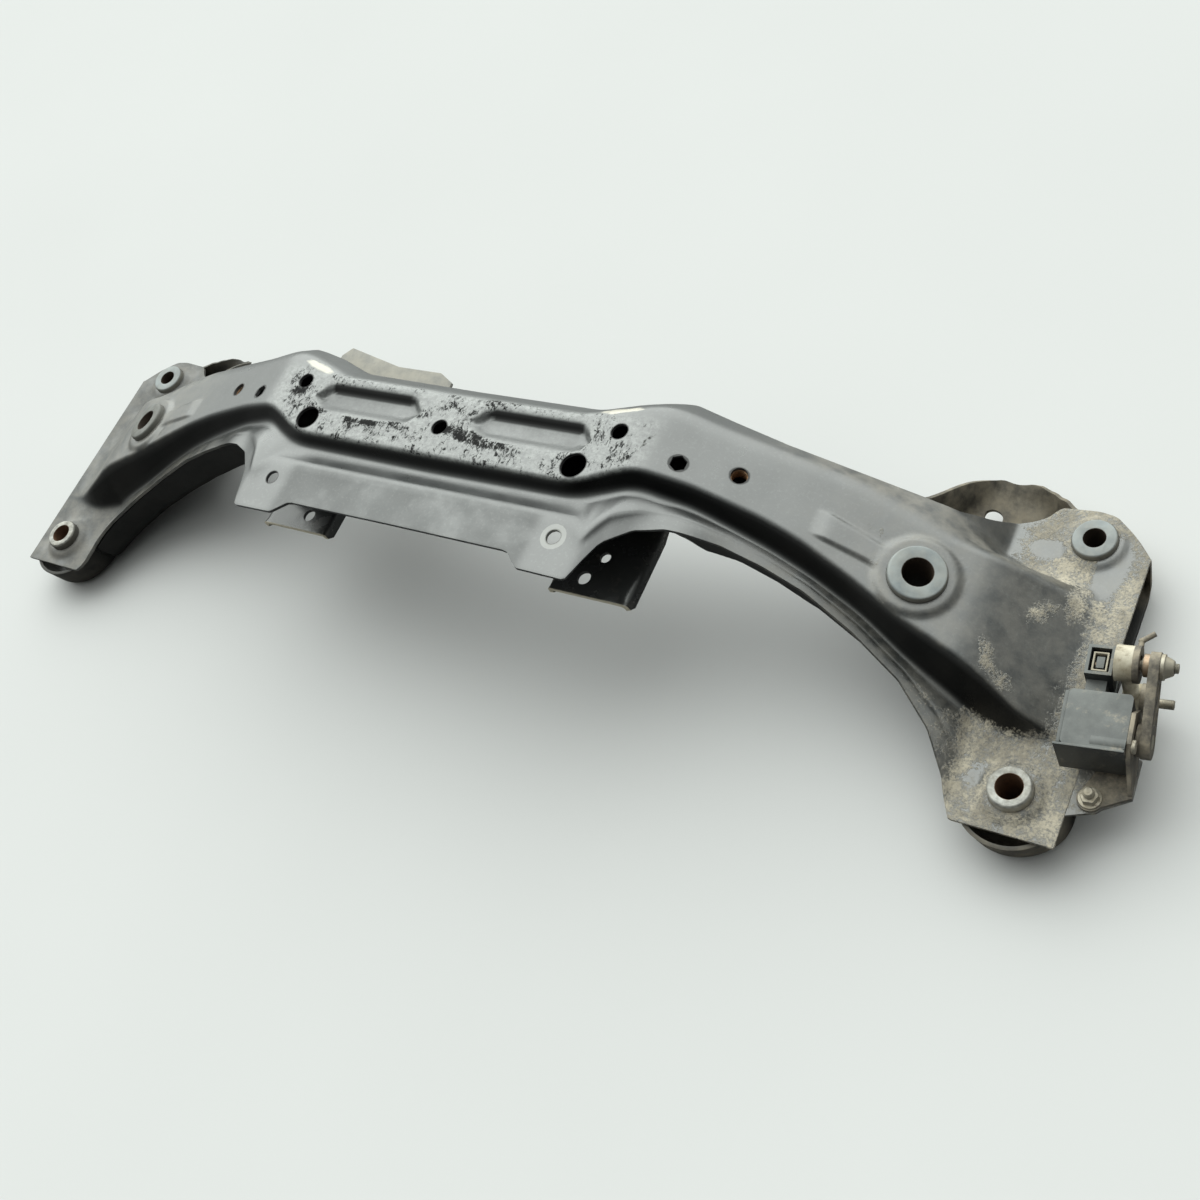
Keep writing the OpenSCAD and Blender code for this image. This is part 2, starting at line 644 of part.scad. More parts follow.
module sensor_lever() {
    color("dimgray") at_lever() difference() {
        union() {
            linear_extrude(lever_t) lever_outline();
            translate([0, 0, leg_out + hub_gap - lever_x]) cylinder(r = hub_r - 1, h = lever_x - leg_out);
        }
        translate([0, 0, -8]) cylinder(d = shaft_d + fit, h = 20);
        translate([lever_l, 0, -cut]) cylinder(d = neck_d + fit, h = lever_t + 2 * cut);
        translate([0, 0, lever_t - slot_depth]) linear_extrude(slot_depth + cut)
            for (y = [-4, 4]) translate([0, y]) slot(hub_r, lever_l - lever_end_r - 3, 4);
    }
}

module at_ball(z = 0) {
    at_sensor() translate([ball_x, ball_y, ball_z + z]) rotate([0, 90, 0]) children();
}

stud_tip = 10;

module lever_ball_stud() {
    color("silver") at_ball() {
        sphere(d = ball_d);
        cylinder(d = neck_d, h = lever_x + lever_t - ball_x + stud_tip);
        translate([0, 0, mouth_x + ring_w + 0.8 - ball_x]) cylinder(d = 9, h = 1);
    }
}

module stud_washer() {
    w = lever_x - (mouth_x + ring_w + 1.8);
    color("peru") at_ball() translate([0, 0, lever_x - ball_x - w]) tube(14, neck_d + fit, w);
}

stud_nut_h = 7.5;

module stud_nut() {
    color("tan") at_ball() translate([0, 0, lever_x + lever_t - ball_x]) difference() {
        union() {
            cylinder(d = 16, h = 2.5);
            translate([0, 0, 2.5]) cylinder(d1 = 14, d2 = 9, h = stud_nut_h - 2.5);
        }
        translate([0, 0, -cut]) cylinder(d = neck_d + fit, h = stud_nut_h + 2 * cut);
    }
}

socket_back = 5.5;
rod_d = 2 * (mouth_x - ball_x - fit);

module socket() {
    translate([0, 0, -socket_back]) cylinder(d = socket_d, h = socket_back + mouth_x - ball_x);
}

module socket_cut() {
    sphere(d = ball_d + 2 * ball_fit);
    cylinder(d = ball_d - 0.6, h = mouth_x - ball_x + cut);
}

module link_rod() {
    color("beige") difference() {
        union() {
            at_ball() socket();
            at_ball(-link_l) socket();
            at_sensor() translate([ball_x, ball_y, ball_z - link_l]) cylinder(d = rod_d, h = link_l);
        }
        at_ball() socket_cut();
        at_ball(-link_l) socket_cut();
    }
}

tail_d = 4;

module clip_ring() {
    translate([0, 0, mouth_x - ball_x]) tube(socket_d + 1, ball_d + 2, ring_w);
}

module link_clips() {
    color("dimgray") {
        at_ball() clip_ring();
        at_ball(-link_l) clip_ring();
        at_sensor() translate([mouth_x + ring_w / 2, ball_y, ball_z]) {
            rotate([-90, 0, 0]) translate([0, 0, socket_d / 2 - 1]) cylinder(d = tail_d - 0.6, h = 6);
            translate([0, socket_d / 2 + 5, 0]) sphere(d = tail_d);
            translate([0, socket_d / 2 + 5, 0]) rotate([-90, 0, -50]) cylinder(d = tail_d - 0.6, h = 9);
        }
    }
}

arm_stud_d = 6;
arm_stud_l = 9.8;
arm_nut_at = mouth_x - ball_x + ring_w + 0.8;
arm_neck_l = arm_nut_at + bolt_nut_h;

module arm_ball_stud() {
    color("silver") at_ball(-link_l) {
        sphere(d = ball_d);
        cylinder(d = neck_d + 0.5, h = arm_neck_l);
        cylinder(d = arm_stud_d, h = arm_neck_l + arm_stud_l);
    }
}

module arm_stud_nut() {
    color("peru") at_ball(-link_l) translate([0, 0, arm_nut_at])
        hex_nut(bolt_nut_af, neck_d + 0.5 + fit, bolt_nut_h);
}

upper_shell();
lower_middle();
mirror([1, 0, 0]) lower_end();  // lower_end_left
lower_end();  // lower_end_right
front_sleeve(-1);  // front_sleeve_left
front_sleeve(1);  // front_sleeve_right
rear_sleeve(-1);  // rear_sleeve_left
rear_sleeve(1);  // rear_sleeve_right
arm_collar(-1);  // arm_collar_left
arm_collar(1);  // arm_collar_right
weld_nuts();
mirror([1, 0, 0]) front_bracket();  // front_bracket_left
front_bracket();  // front_bracket_right
rear_bracket();
sensor_ear();
sensor_bracket();
bracket_stud();
bracket_nut();
sensor_housing();
sensor_cover();
connector_terminals();
housing_screws();
sensor_shaft();
sensor_lever();
lever_ball_stud();
stud_washer();
stud_nut();
link_rod();
link_clips();
arm_ball_stud();
arm_stud_nut();
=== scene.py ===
"""Looks of the subframe: smooth pressings with embossed seats, softened small parts and worn, muddy finishes.
Lengths are millimetres in the shape functions and metres in Blender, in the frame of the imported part."""
import math

import bmesh
import bpy
import numpy as np
from mathutils import Matrix, Vector


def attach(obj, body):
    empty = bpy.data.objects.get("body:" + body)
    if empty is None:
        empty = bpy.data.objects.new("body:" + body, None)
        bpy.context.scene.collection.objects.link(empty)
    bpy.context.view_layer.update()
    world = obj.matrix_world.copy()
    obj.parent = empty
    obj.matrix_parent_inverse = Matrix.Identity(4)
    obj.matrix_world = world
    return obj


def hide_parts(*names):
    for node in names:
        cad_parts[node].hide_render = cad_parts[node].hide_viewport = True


MM = 0.001

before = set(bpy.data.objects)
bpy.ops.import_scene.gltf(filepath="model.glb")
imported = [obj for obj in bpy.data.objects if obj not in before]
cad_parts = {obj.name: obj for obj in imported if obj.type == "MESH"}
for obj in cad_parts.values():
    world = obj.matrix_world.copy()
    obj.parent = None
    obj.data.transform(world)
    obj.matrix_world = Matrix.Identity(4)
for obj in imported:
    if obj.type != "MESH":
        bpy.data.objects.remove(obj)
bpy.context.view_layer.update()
scene = bpy.context.scene

# Main sizes, as in the part's source except for the place and length of the beads

SHEET = 2.6
CROWN_Z, CROWN_HALF, RAMP_Z, PLATE_Z, FLOOR_Z = 111.0, 172.0, 33.0, -11.0, -42.0
END_X = 450.0
OUTER_X = END_X + 34
RAMP_X = END_X - 45
RAMP_END = END_X + 17
LEG_FALL = (CROWN_Z - RAMP_Z) / (RAMP_X - CROWN_HALF)
LEG_TILT = math.atan(LEG_FALL)
TAB_X, TAB_W = 136.0, 40.0
TAB_IN, TAB_OUT = TAB_X - TAB_W / 2, TAB_X + TAB_W / 2
VALLEY_DEPTH = 12.0
BEAD_AT, BEAD_L, BEAD_W, BEAD_DEPTH, BEAD_FOOT = (77.0, 125.5), 102.0, 26.0, 5.0, 8.0
COLLAR_AT = (363.0, 104.5)
REAR_AT = (447.0, 184.5)
COLLAR_SEAT_R, FRONT_SEAT_R, REAR_SEAT_R = 19.7, 14.45, 15.2
MID_FLOOR = CROWN_Z - 59
SEAT_GAP = 0.5
SLEEVE_Z = FLOOR_Z - SHEET - 0.8

# Holes of the upper pressing: x from the middle, y, radius
MIDDLE_HOLE, RACK_HOLE, ACCESS_HOLE = (0.0, 116.0, 6.35), (148.0, 137.0, 6.35), (125.5, 104.5, 9.9)
HEX_HOLE, NUT_HOLE, TAB_HOLE = (197.5, 125.0, 6.3), (237.0, 131.0, 6.0), (133.0, 51.0, 5.5)
UP = (0, 0, 1)

# Front brackets: ends in x and y, lip, sheet and the smaller hole
BRACKET_IN, BRACKET_OUT, BRACKET_FRONT, BRACKET_REAR = TAB_X - 28, TAB_X + 39, 37.0, 118.0
BRACKET_LIP, BRACKET_SHEET, BRACKET_HOLE = 11.0, 3.0, (142.0, 70.0, 4.25)


def leg(k):
    return CROWN_HALF + k * (RAMP_X - CROWN_HALF)


def end(d):
    return END_X + d


def lookup(u, table):
    return np.interp(u, [p[0] for p in table], [p[1] for p in table])


def soft(u, table, r):
    return (lookup(u - r, table) + 2 * lookup(u - r / 2, table) + 2 * lookup(u, table)
            + 2 * lookup(u + r / 2, table) + lookup(u + r, table)) / 8


def smooth(a, b, v):
    t = np.clip((v - a) / (b - a), 0, 1)
    return t * t * (3 - 2 * t)


def top_z(u):
    return soft(u, [(-CROWN_HALF, CROWN_Z), (CROWN_HALF, CROWN_Z), (RAMP_X, RAMP_Z), (RAMP_END, PLATE_Z),
                    (OUTER_X + 40, PLATE_Z)], 12)


# Edges and folds of the upper pressing along one half

FRONT_EDGE = [(0, 33), (TAB_IN - 13, 33), (TAB_IN, 22), (TAB_OUT, 22), (TAB_OUT + 4, 35), (leg(-0.02), 55),
              (leg(0.05), 72), (leg(0.13), 80), (leg(0.28), 84.5), (leg(0.4), 82), (leg(0.53), 76),
              (leg(0.68), 63), (leg(0.83), 45), (leg(0.94), 22), (end(-42), -3), (end(-33), -27),
              (OUTER_X, -27)]
EDGE_DROP = [(0, 5.5), (TAB_IN, 6.5), (TAB_OUT, 8), (leg(0.05), 12), (leg(0.18), 9), (leg(0.28), 15),
             (leg(0.53), 20), (leg(0.83), 30), (leg(1), 34), (end(-32), 40)]
VALLEY_LINE = [(0, 84.5), (130, 86), (150, 91), (CROWN_HALF, 103), (leg(0.16), 104), (leg(0.28), 101),
               (leg(0.4), 97), (leg(0.53), 90), (leg(0.68), 79), (leg(0.83), 62), (leg(1), 47),
               (end(-15), 36), (end(0), 38), (OUTER_X, 40)]
VALLEY_FALL = [(0, VALLEY_DEPTH), (150, VALLEY_DEPTH), (leg(0.02), VALLEY_DEPTH + 2.5), (leg(0.28), 17),
               (leg(0.53), 22), (leg(0.83), 33), (leg(1), 40), (end(0), 44)]
CROWN_FRONT = [(0, 91.5), (124, 91.5), (140, 97), (156, 106), (170, 111), (leg(0.17), 112),
               (leg(0.26), 110), (leg(0.38), 107), (leg(0.5), 101), (leg(0.66), 88), (leg(0.82), 73),
               (leg(0.9), 68), (leg(1), 61), (end(-25), 54), (end(-8), 46), (OUTER_X, 44)]
CROWN_REAR = [(0, 147), (112, 147), (140, 155), (165, 163), (leg(0.06), 164), (leg(0.2), 160),
              (leg(0.6), 156), (leg(0.75), 147), (leg(0.85), 141), (leg(1), 138), (OUTER_X, 136)]
REAR_FOOT = [(0, 164), (112, 164), (145, 174), (leg(0.04), 181), (leg(0.18), 176), (leg(0.34), 171),
             (leg(0.77), 168), (leg(0.88), 168), (leg(0.94), 164), (end(-36), 156), (end(16), 148),
             (OUTER_X, 147)]
REAR_FALL = [(0, 21), (leg(0), 19), (leg(0.34), 12), (leg(0.77), 16), (leg(0.83), 20), (leg(0.89), 33),
             (leg(0.94), 49), (leg(1), 50)]
REAR_EDGE = [(0, 165), (112, 165), (145, 175), (leg(0.04), 182), (leg(0.18), 177), (leg(0.34), 172),
             (leg(0.77), 169), (leg(0.83), 170), (leg(0.89), 178), (leg(0.94), 188), (end(-46), 193),
             (end(-37), 199), (end(-33), 207), (end(-7), 209), (end(5), 207), (end(20), 195), (OUTER_X, 179)]
FLANGE_IN, GROOVE_FOOT = 66.0, 77.0
RIDGE_RISE = [(0, 6.2), (150, 6.2), (leg(0.1), 1), (leg(0.5), 0)]


def edge_y(u):
    return soft(u, FRONT_EDGE, 1.5)


def edge_z(u):
    return np.maximum(PLATE_Z, top_z(u) - soft(u, EDGE_DROP, 10))


def valley_y(u):
    return soft(u, VALLEY_LINE, 10)


def valley_z(u):
    return np.maximum(PLATE_Z, top_z(u) - soft(u, VALLEY_FALL, 10))


def rear_foot_z(u):
    return np.maximum(PLATE_Z, top_z(u) - soft(u, REAR_FALL, 8))


def rear_edge_y(u):
    return soft(u, REAR_EDGE, 3)


def rear_edge_z(u):
    z = rear_foot_z(u)
    return np.maximum(PLATE_Z, z - 2 * (z - PLATE_Z) / CROWN_Z)


def bead_end(u, w):
    past = np.maximum(0, np.abs(u - BEAD_AT[0]) - (BEAD_L - BEAD_W) / 2)
    return np.sqrt(np.maximum(0, (w / 2) ** 2 - past ** 2))


def lean(s):
    """Direction square to the sloped leg on side s."""
    return s * math.sin(LEG_TILT), 0, math.cos(LEG_TILT)


def on_top(s, at):
    """Point on the plain upper sheet on side s."""
    return s * at[0], at[1], float(top_z(at[0]))


def upper_corners(u):
    """Section corners of the upper pressing from the front edge to the rear edge."""
    ey, ez, vy, vz, top = edge_y(u), edge_z(u), valley_y(u), valley_z(u), top_z(u)
    on_leg = smooth(140, 160, u)
    leg_y = ey + 0.55 * (vy - ey)
    leg_z = ez + (vz - ez) * 0.4 + lookup(u, RIDGE_RISE)

    def turned(middle, leg_part):
        return (1 - on_leg) * middle + on_leg * leg_part

    half = np.maximum(bead_end(u, BEAD_W), 2)
    front_half = np.maximum(bead_end(u, BEAD_FOOT), 1)
    rear_half = np.maximum(bead_end(u, 2 * BEAD_FOOT), 1)
    fall = BEAD_DEPTH * np.minimum(1, bead_end(u, BEAD_W) / BEAD_FOOT)
    bead = BEAD_AT[1]
    flat_y = ey + 0.62 * (turned(FLANGE_IN, leg_y) - ey)
    return [(ey, ez), (flat_y, turned(ez - 0.2, ez + 0.5 * (leg_z - ez))),
            (turned(FLANGE_IN, ey + 0.8 * (leg_y - ey)), turned(ez + 0.8, leg_z)),
            (turned(GROOVE_FOOT, leg_y), turned(vz + 0.5, leg_z)), (vy, vz), (soft(u, CROWN_FRONT, 8), top),
            (bead - half, top), (bead - front_half, top - fall), (bead + rear_half, top - fall),
            (bead + half, top), (soft(u, CROWN_REAR, 10), top), (soft(u, REAR_FOOT, 8), rear_foot_z(u)),
            (rear_edge_y(u), rear_edge_z(u))]


# Edges and folds of the lower pressing along one half

CUP_R = 36.0
FLOOR_LINE = [(-leg(0.08), MID_FLOOR), (leg(0.08), MID_FLOOR), (end(-22), FLOOR_Z), (OUTER_X + 40, FLOOR_Z)]
DISH_Y = [(leg(0.72), 0), (leg(0.75), 8), (leg(0.79), 36), (leg(0.84), 56), (leg(0.96), 39), (end(-38), 24),
          (end(-33), 11), (end(-20), 1.5), (OUTER_X, 1.5)]
DISH_DROP = [(leg(0.72), 0), (leg(0.75), 3), (leg(0.79), 19), (leg(0.84), 34), (leg(0.9), 20), (leg(0.95), 3),
             (OUTER_X, 2)]
WALL_DRAFT = [(0, 13), (leg(0.2), 11), (leg(0.5), 6), (OUTER_X, 5)]
RIM_DRAFT = [(0, 8), (leg(0.7), 8), (leg(0.84), 16), (end(-20), 6), (OUTER_X, 6)]


def floor_at(u):
    return soft(u, FLOOR_LINE, 14)


def lower_corners(u):
    """Section corners of the lower pressing from the front wall's top to the rear rim."""
    on_edge = lookup(u, [(CROWN_HALF - 10, 0), (leg(0.18), 1)])
    cup = -np.sqrt(np.maximum(0, (CUP_R - SHEET) ** 2 - (u - END_X) ** 2))
    wall = (1 - on_edge) * (valley_y(u) - 1) + on_edge * (edge_y(u) + SHEET + 0.5)
    wall_y = np.where(u > end(-43), cup, wall)
    wall_z = (1 - on_edge) * valley_z(u) + on_edge * edge_z(u) - SHEET - SEAT_GAP
    rim_y = rear_edge_y(u) - SHEET - SEAT_GAP + soft(u, DISH_Y, 5)
    rim_z = rear_edge_z(u) - SHEET - SEAT_GAP - soft(u, DISH_DROP, 5)
    floor = floor_at(u)
    return [(wall_y, wall_z), (wall_y + lookup(u, WALL_DRAFT), floor), (rim_y - lookup(u, RIM_DRAFT), floor),
            (rim_y, np.maximum(rim_z, floor + 5))]


# Pressed sheets

def section_points(corners, radii, steps, splits):
    """Rounded section lines for all stations at once: an array of stations x points x (y, z)."""
    c = [np.stack(np.broadcast_arrays(*p), axis=-1) for p in corners]

    def towards(a, b, r):
        d = b - a
        size = np.linalg.norm(d, axis=-1, keepdims=True)
        return a + d / np.maximum(size, 1e-6) * np.minimum(r, 0.45 * size)

    out, last = [c[0]], c[0]
    for i in range(1, len(c)):
        stop = i == len(c) - 1
        p = c[i] if stop else towards(c[i], c[i - 1], radii[i])
        for k in range(1, splits[i - 1] + 1):
            out.append(last + (p - last) * k / (splits[i - 1] + 1))
        out.append(p)
        last = p
        if not stop:
            q = towards(c[i], c[i + 1], radii[i])
            for k in range(1, steps[i] + 1):
                t = k / steps[i]
                out.append(p * (1 - t) ** 2 + c[i] * 2 * t * (1 - t) + q * t * t)
            last = q
    return np.stack(out, axis=1)


def grid_normals(p):
    du = np.gradient(p, axis=0)
    dv = np.gradient(p, axis=1)
    n = np.cross(du, dv)
    return n / np.maximum(np.linalg.norm(n, axis=-1, keepdims=True), 1e-9)


def sheet_mesh(name, top, thickness):
    """Closed sheet of constant thickness below a grid of points."""
    rows, cols = top.shape[:2]
    under = top - grid_normals(top) * thickness
    under[..., 0] = np.clip(under[..., 0], top[..., 0].min(), top[..., 0].max())
    points = np.concatenate([top.reshape(-1, 3), under.reshape(-1, 3)]) * MM
    base = rows * cols
    faces = []
    for i in range(rows - 1):
        for j in range(cols - 1):
            a = i * cols + j
            faces.append((a, a + cols, a + cols + 1, a + 1))
            faces.append((base + a, base + a + 1, base + a + cols + 1, base + a + cols))
    rim = list(range(cols)) + [i * cols + cols - 1 for i in range(1, rows)]
    rim += [(rows - 1) * cols + j for j in range(cols - 2, -1, -1)]
    rim += [i * cols for i in range(rows - 2, 0, -1)]
    for k, a in enumerate(rim):
        b = rim[(k + 1) % len(rim)]
        faces.append((a, b, base + b, base + a))
    mesh = bpy.data.meshes.new(name)
    mesh.from_pydata(points.tolist(), [], faces)
    bm = bmesh.new()
    bm.from_mesh(mesh)
    bmesh.ops.recalc_face_normals(bm, faces=bm.faces)
    round_edges(bm, 0.5, 60)
    bm.to_mesh(mesh)
    bm.free()
    return mesh


def round_edges(bm, width, angle):
    edges = [e for e in bm.edges if len(e.link_faces) == 2 and e.calc_face_angle() > math.radians(angle)]
    bmesh.ops.bevel(bm, geom=edges, offset=width * MM, offset_type="OFFSET", segments=2, profile=0.6,
                    affect="EDGES", clamp_overlap=True)


def piece(name, mesh):
    obj = bpy.data.objects.new(name, mesh)
    scene.collection.objects.link(obj)
    return obj


def bores(tools):
    """One mesh of closed cylinders: (centre, axis, radius, half length, sides)."""
    bm = bmesh.new()
    for centre, axis, r, half, sides in tools:
        turn = Vector(UP).rotation_difference(Vector(axis))
        place = Matrix.Translation(Vector(centre) * MM) @ turn.to_matrix().to_4x4()
        bmesh.ops.create_cone(bm, cap_ends=True, segments=sides, radius1=r * MM, radius2=r * MM,
                              depth=2 * half * MM, matrix=place)
    mesh = bpy.data.meshes.new("bores")
    bm.to_mesh(mesh)
    bm.free()
    return mesh


def cut_out(obj, tools):
    """Cuts the bores through the object and leaves the result as its mesh."""
    tool = piece("cutter", bores(tools))
    mod = obj.modifiers.new("holes", "BOOLEAN")
    mod.operation = "DIFFERENCE"
    mod.solver = "MANIFOLD"
    mod.object = tool
    bpy.context.view_layer.update()
    done = bpy.data.meshes.new_from_object(obj.evaluated_get(bpy.context.evaluated_depsgraph_get()))
    obj.modifiers.clear()
    done.materials.clear()
    obj.data = done
    bpy.data.objects.remove(tool)
    return obj


def shade(obj, angle=32):
    obj.data.polygons.foreach_set("use_smooth", [True] * len(obj.data.polygons))
    obj.data.set_sharp_from_angle(angle=math.radians(angle))
    return obj


def stations(spans):
    """Stations of one half from (start, stop, spacing), mirrored to the whole length."""
    half = []
    for a, b, d in spans:
        half += list(np.linspace(a, b, max(2, int(round((b - a) / d)) + 1))[:-1])
    half.append(spans[-1][1])
    half = np.array(half)
    return np.concatenate([-half[::-1], half[1:]])


def along_beam(x, yz):
    """Grid of points from stations and their section lines."""
    return np.concatenate([np.broadcast_to(x[:, None, None], yz.shape[:2] + (1,)), yz], axis=-1)


def emboss(x, y):
    """Height of the pressed seats and ribs above the plain upper sheet."""
    front_rise, rear_rise, pad_rise, rib_rise = 4.0, 2.4, 2.4, 1.9
    u = np.abs(x)
    front = front_rise * (1 - smooth(16.5, 23, np.hypot(u - END_X, y)))
    rear = rear_rise * (1 - smooth(17.5, 22.5, np.hypot(u - REAR_AT[0], y - REAR_AT[1])))
    inward = (COLLAR_AT[0] - u) / math.cos(LEG_TILT)
    across = y - COLLAR_AT[1]
    pad = pad_rise * (1 - smooth(25.5, 29.5, np.hypot(inward, across)))
    upper = np.interp(inward, [10, 27, 70], [20, 12.5, 22.6])
    lower = np.interp(inward, [10, 32, 67], [-14, -2, 3])
    rib = smooth(-1.6, 1.6, upper - across) * smooth(-1.6, 1.6, across - lower)
    rib = rib * smooth(8, 20, inward) * (1 - smooth(66, 73, inward))
    return np.maximum.reduce([front, rear, pad, rib_rise * rib])


def build_upper():
    x = stations([(0, 104, 4.5), (104, 190, 2.6), (190, 330, 4), (330, OUTER_X, 2.3)])
    # For each corner the fold's radius and steps, and for each stretch between corners its inner points
    radii = [0, 5, 5, 6, 6, 3.2, 3.5, 2.5, 2.5, 3.5, 9, 5, 0]
    steps = [0, 3, 3, 4, 5, 5, 3, 3, 3, 3, 5, 4, 0]
    splits = [8, 2, 2, 8, 4, 22, 1, 1, 1, 2, 4, 20]
    yz = section_points(upper_corners(np.abs(x)), radii, steps, splits)
    top = along_beam(x, yz)
    top = top + grid_normals(top) * emboss(top[..., 0], top[..., 1])[..., None]
    obj = piece("upper_shell_skin", sheet_mesh("upper_shell_skin", top, SHEET))
    short, long = 9, 20
    tools = [(on_top(1, MIDDLE_HOLE), UP, MIDDLE_HOLE[2], short, 48)]
    for s in (-1, 1):
        tools += [(on_top(s, RACK_HOLE), UP, RACK_HOLE[2], short, 48),
                  (on_top(s, ACCESS_HOLE), UP, ACCESS_HOLE[2], short, 64),
                  (on_top(s, HEX_HOLE), lean(s), HEX_HOLE[2], short, 6),
                  (on_top(s, NUT_HOLE), lean(s), NUT_HOLE[2], short, 48),
                  (on_top(s, COLLAR_AT), lean(s), COLLAR_SEAT_R, long, 72),
                  (on_top(s, TAB_HOLE), UP, TAB_HOLE[2], long, 48),
                  ((s * END_X, 0, PLATE_Z), UP, FRONT_SEAT_R, long, 64),
                  ((s * REAR_AT[0], REAR_AT[1], PLATE_Z), UP, REAR_SEAT_R, long, 64)]
    return shade(cut_out(obj, tools), 40)


def build_lower():
    x = stations([(0, 150, 8), (150, 330, 5), (330, end(-43), 2.5), (end(-43) + 0.01, OUTER_X - 0.6, 1.6)])
    yz = section_points(lower_corners(np.abs(x)), [0, 9, 9, 0], [0, 7, 7, 0], [6, 16, 6])
    top = along_beam(x, yz)
    obj = piece("lower_pressing_skin", sheet_mesh("lower_pressing_skin", top, SHEET))
    drain_x, drain_y, drain_r = leg(0.86), 196, 6
    under_collar_r, short, long = 12, 8, 12
    tools = []
    for s in (-1, 1):
        collar = on_top(s, COLLAR_AT)
        depth = (collar[2] - float(floor_at(COLLAR_AT[0]))) * math.cos(LEG_TILT)
        under_collar = Vector(collar) - depth * Vector(lean(s))
        tools += [((s * END_X, 0, FLOOR_Z), UP, FRONT_SEAT_R, short, 64),
                  ((s * REAR_AT[0], REAR_AT[1], FLOOR_Z), UP, REAR_SEAT_R, short, 64),
                  ((s * drain_x, drain_y, float(floor_at(drain_x))), UP, drain_r, long, 48),
                  (under_collar, lean(s), under_collar_r, long, 48)]
    return shade(cut_out(obj, tools), 40)


def build_bracket(s):
    """One of the two channel brackets under the tabs, right for s = 1."""
    y = np.array([BRACKET_REAR, 110, 102, 95, 80, 60, 45, 42, 40, 38.5, BRACKET_FRONT])
    lip = BRACKET_LIP * lookup(y, [(BRACKET_FRONT, 0.55), (42, 1), (95, 1), (BRACKET_REAR, 0.4)])
    at = MID_FLOOR - SHEET - 0.2
    top_at = np.full_like(y, at)
    inner, outer = np.full_like(y, BRACKET_IN), np.full_like(y, BRACKET_OUT)
    xz = section_points([(inner, top_at - lip), (inner, top_at), (outer, top_at), (outer + 1, top_at - lip)],
                        [0, 4, 10, 0], [0, 6, 9, 0], [3, 14, 3])
    top = np.stack([xz[..., 0], np.broadcast_to(y[:, None], xz.shape[:2]), xz[..., 1]], axis=-1)
    if s < 0:
        top = top[::-1] * (-1, 1, 1)
    name = "front_bracket_right_skin" if s > 0 else "front_bracket_left_skin"
    obj = piece(name, sheet_mesh(name, top, BRACKET_SHEET))
    half = 7
    tools = [((s * TAB_HOLE[0], TAB_HOLE[1], at), UP, TAB_HOLE[2] - 0.2, half, 48),
             ((s * BRACKET_HOLE[0], BRACKET_HOLE[1], at), UP, BRACKET_HOLE[2], half, 48)]
    return shade(cut_out(obj, tools), 40)


# Softened copies of the small pieces

def softened(name, width, angle=28):
    """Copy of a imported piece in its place, with flat faces joined and edges rounded."""
    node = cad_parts[name]
    bm = bmesh.new()
    bm.from_mesh(node.data)
    bm.transform(node.matrix_world)
    bmesh.ops.remove_doubles(bm, verts=bm.verts, dist=2e-6)
    bmesh.ops.dissolve_limit(bm, angle_limit=math.radians(0.8), verts=bm.verts, edges=bm.edges)
    round_edges(bm, width, angle)
    mesh = bpy.data.meshes.new(name + "_skin")
    bm.to_mesh(mesh)
    bm.free()
    return shade(piece(name + "_skin", mesh), 35)


# Sensor details, in the sensor's own frame at the stud of the right end plate

STUD_AT, SENSOR_YAW = (END_X + 45.7, 8.8), math.radians(7)
SENSOR_AT = Matrix.Translation(Vector((*STUD_AT, PLATE_Z)) * MM)
SENSOR = SENSOR_AT @ Matrix.Rotation(SENSOR_YAW, 4, "Z") @ Matrix.Scale(MM, 4)
LEVER_AT, LEVER_L, LEVER_RISE, LINK_L = (12.5, 33.0, 23.0), 44.5, math.radians(24), 50.0
LEVER_END = (LEVER_AT[0], LEVER_AT[1] + LEVER_L * math.cos(LEVER_RISE),
             LEVER_AT[2] + LEVER_L * math.sin(LEVER_RISE))
BALL_AT = SENSOR @ Vector(LEVER_END) / MM
ARM_BALL_AT = BALL_AT - Vector((0, 0, LINK_L))
SHAFT_WAY = (math.cos(SENSOR_YAW), math.sin(SENSOR_YAW), 0)

# Low corner, high corner, wall, lower end and upper end. Two frames stand in the connector's opening, which
# is 12 x 16 mm with its mouth at 38 mm, and a band runs around the connector's foot.
FRAME_TOP = 36.6
CONNECTOR_FRAMES = [((-7.6, 69.0), (1.6, 82.0), 1.1, 25.5, FRAME_TOP),
                    ((-5.4, 71.6), (-0.6, 79.4), None, 25.5, FRAME_TOP - 1.2),
                    ((-12.2, 64.3), (6.2, 86.7), 1.15, 14.0, 16.5)]
HOUSING_FRONT = [((-20.2, 15.6), (20.6, 17.2), None, 8.2, 42.0)]


def frame_ring(bm, low, high, wall, z0, z1):
    """Rectangular ring between two heights, or a block where the wall is None."""
    def loop(d, z):
        return [bm.verts.new(c) for c in ((low[0] + d, low[1] + d, z), (high[0] - d, low[1] + d, z),
                                          (high[0] - d, high[1] - d, z), (low[0] + d, high[1] - d, z))]
    a, b = loop(0, z0), loop(0, z1)
    sides = [(a, b)]
    if wall is None:
        bm.faces.new(a[::-1])
        bm.faces.new(b)
    else:
        c, d = loop(wall, z0), loop(wall, z1)
        sides += [(d, c), (b, d), (c, a)]
    for p, q in sides:
        for i in range(4):
            j = (i + 1) % 4
            bm.faces.new((p[i], p[j], q[j], q[i]))


def sensor_detail(name, shapes, width=0.35):
    bm = bmesh.new()
    for shape in shapes:
        frame_ring(bm, *shape)
    bm.transform(SENSOR)
    bmesh.ops.recalc_face_normals(bm, faces=bm.faces)
    round_edges(bm, width, 40)
    mesh = bpy.data.meshes.new(name)
    bm.to_mesh(mesh)
    bm.free()
    return shade(piece(name, mesh), 35)


# Materials

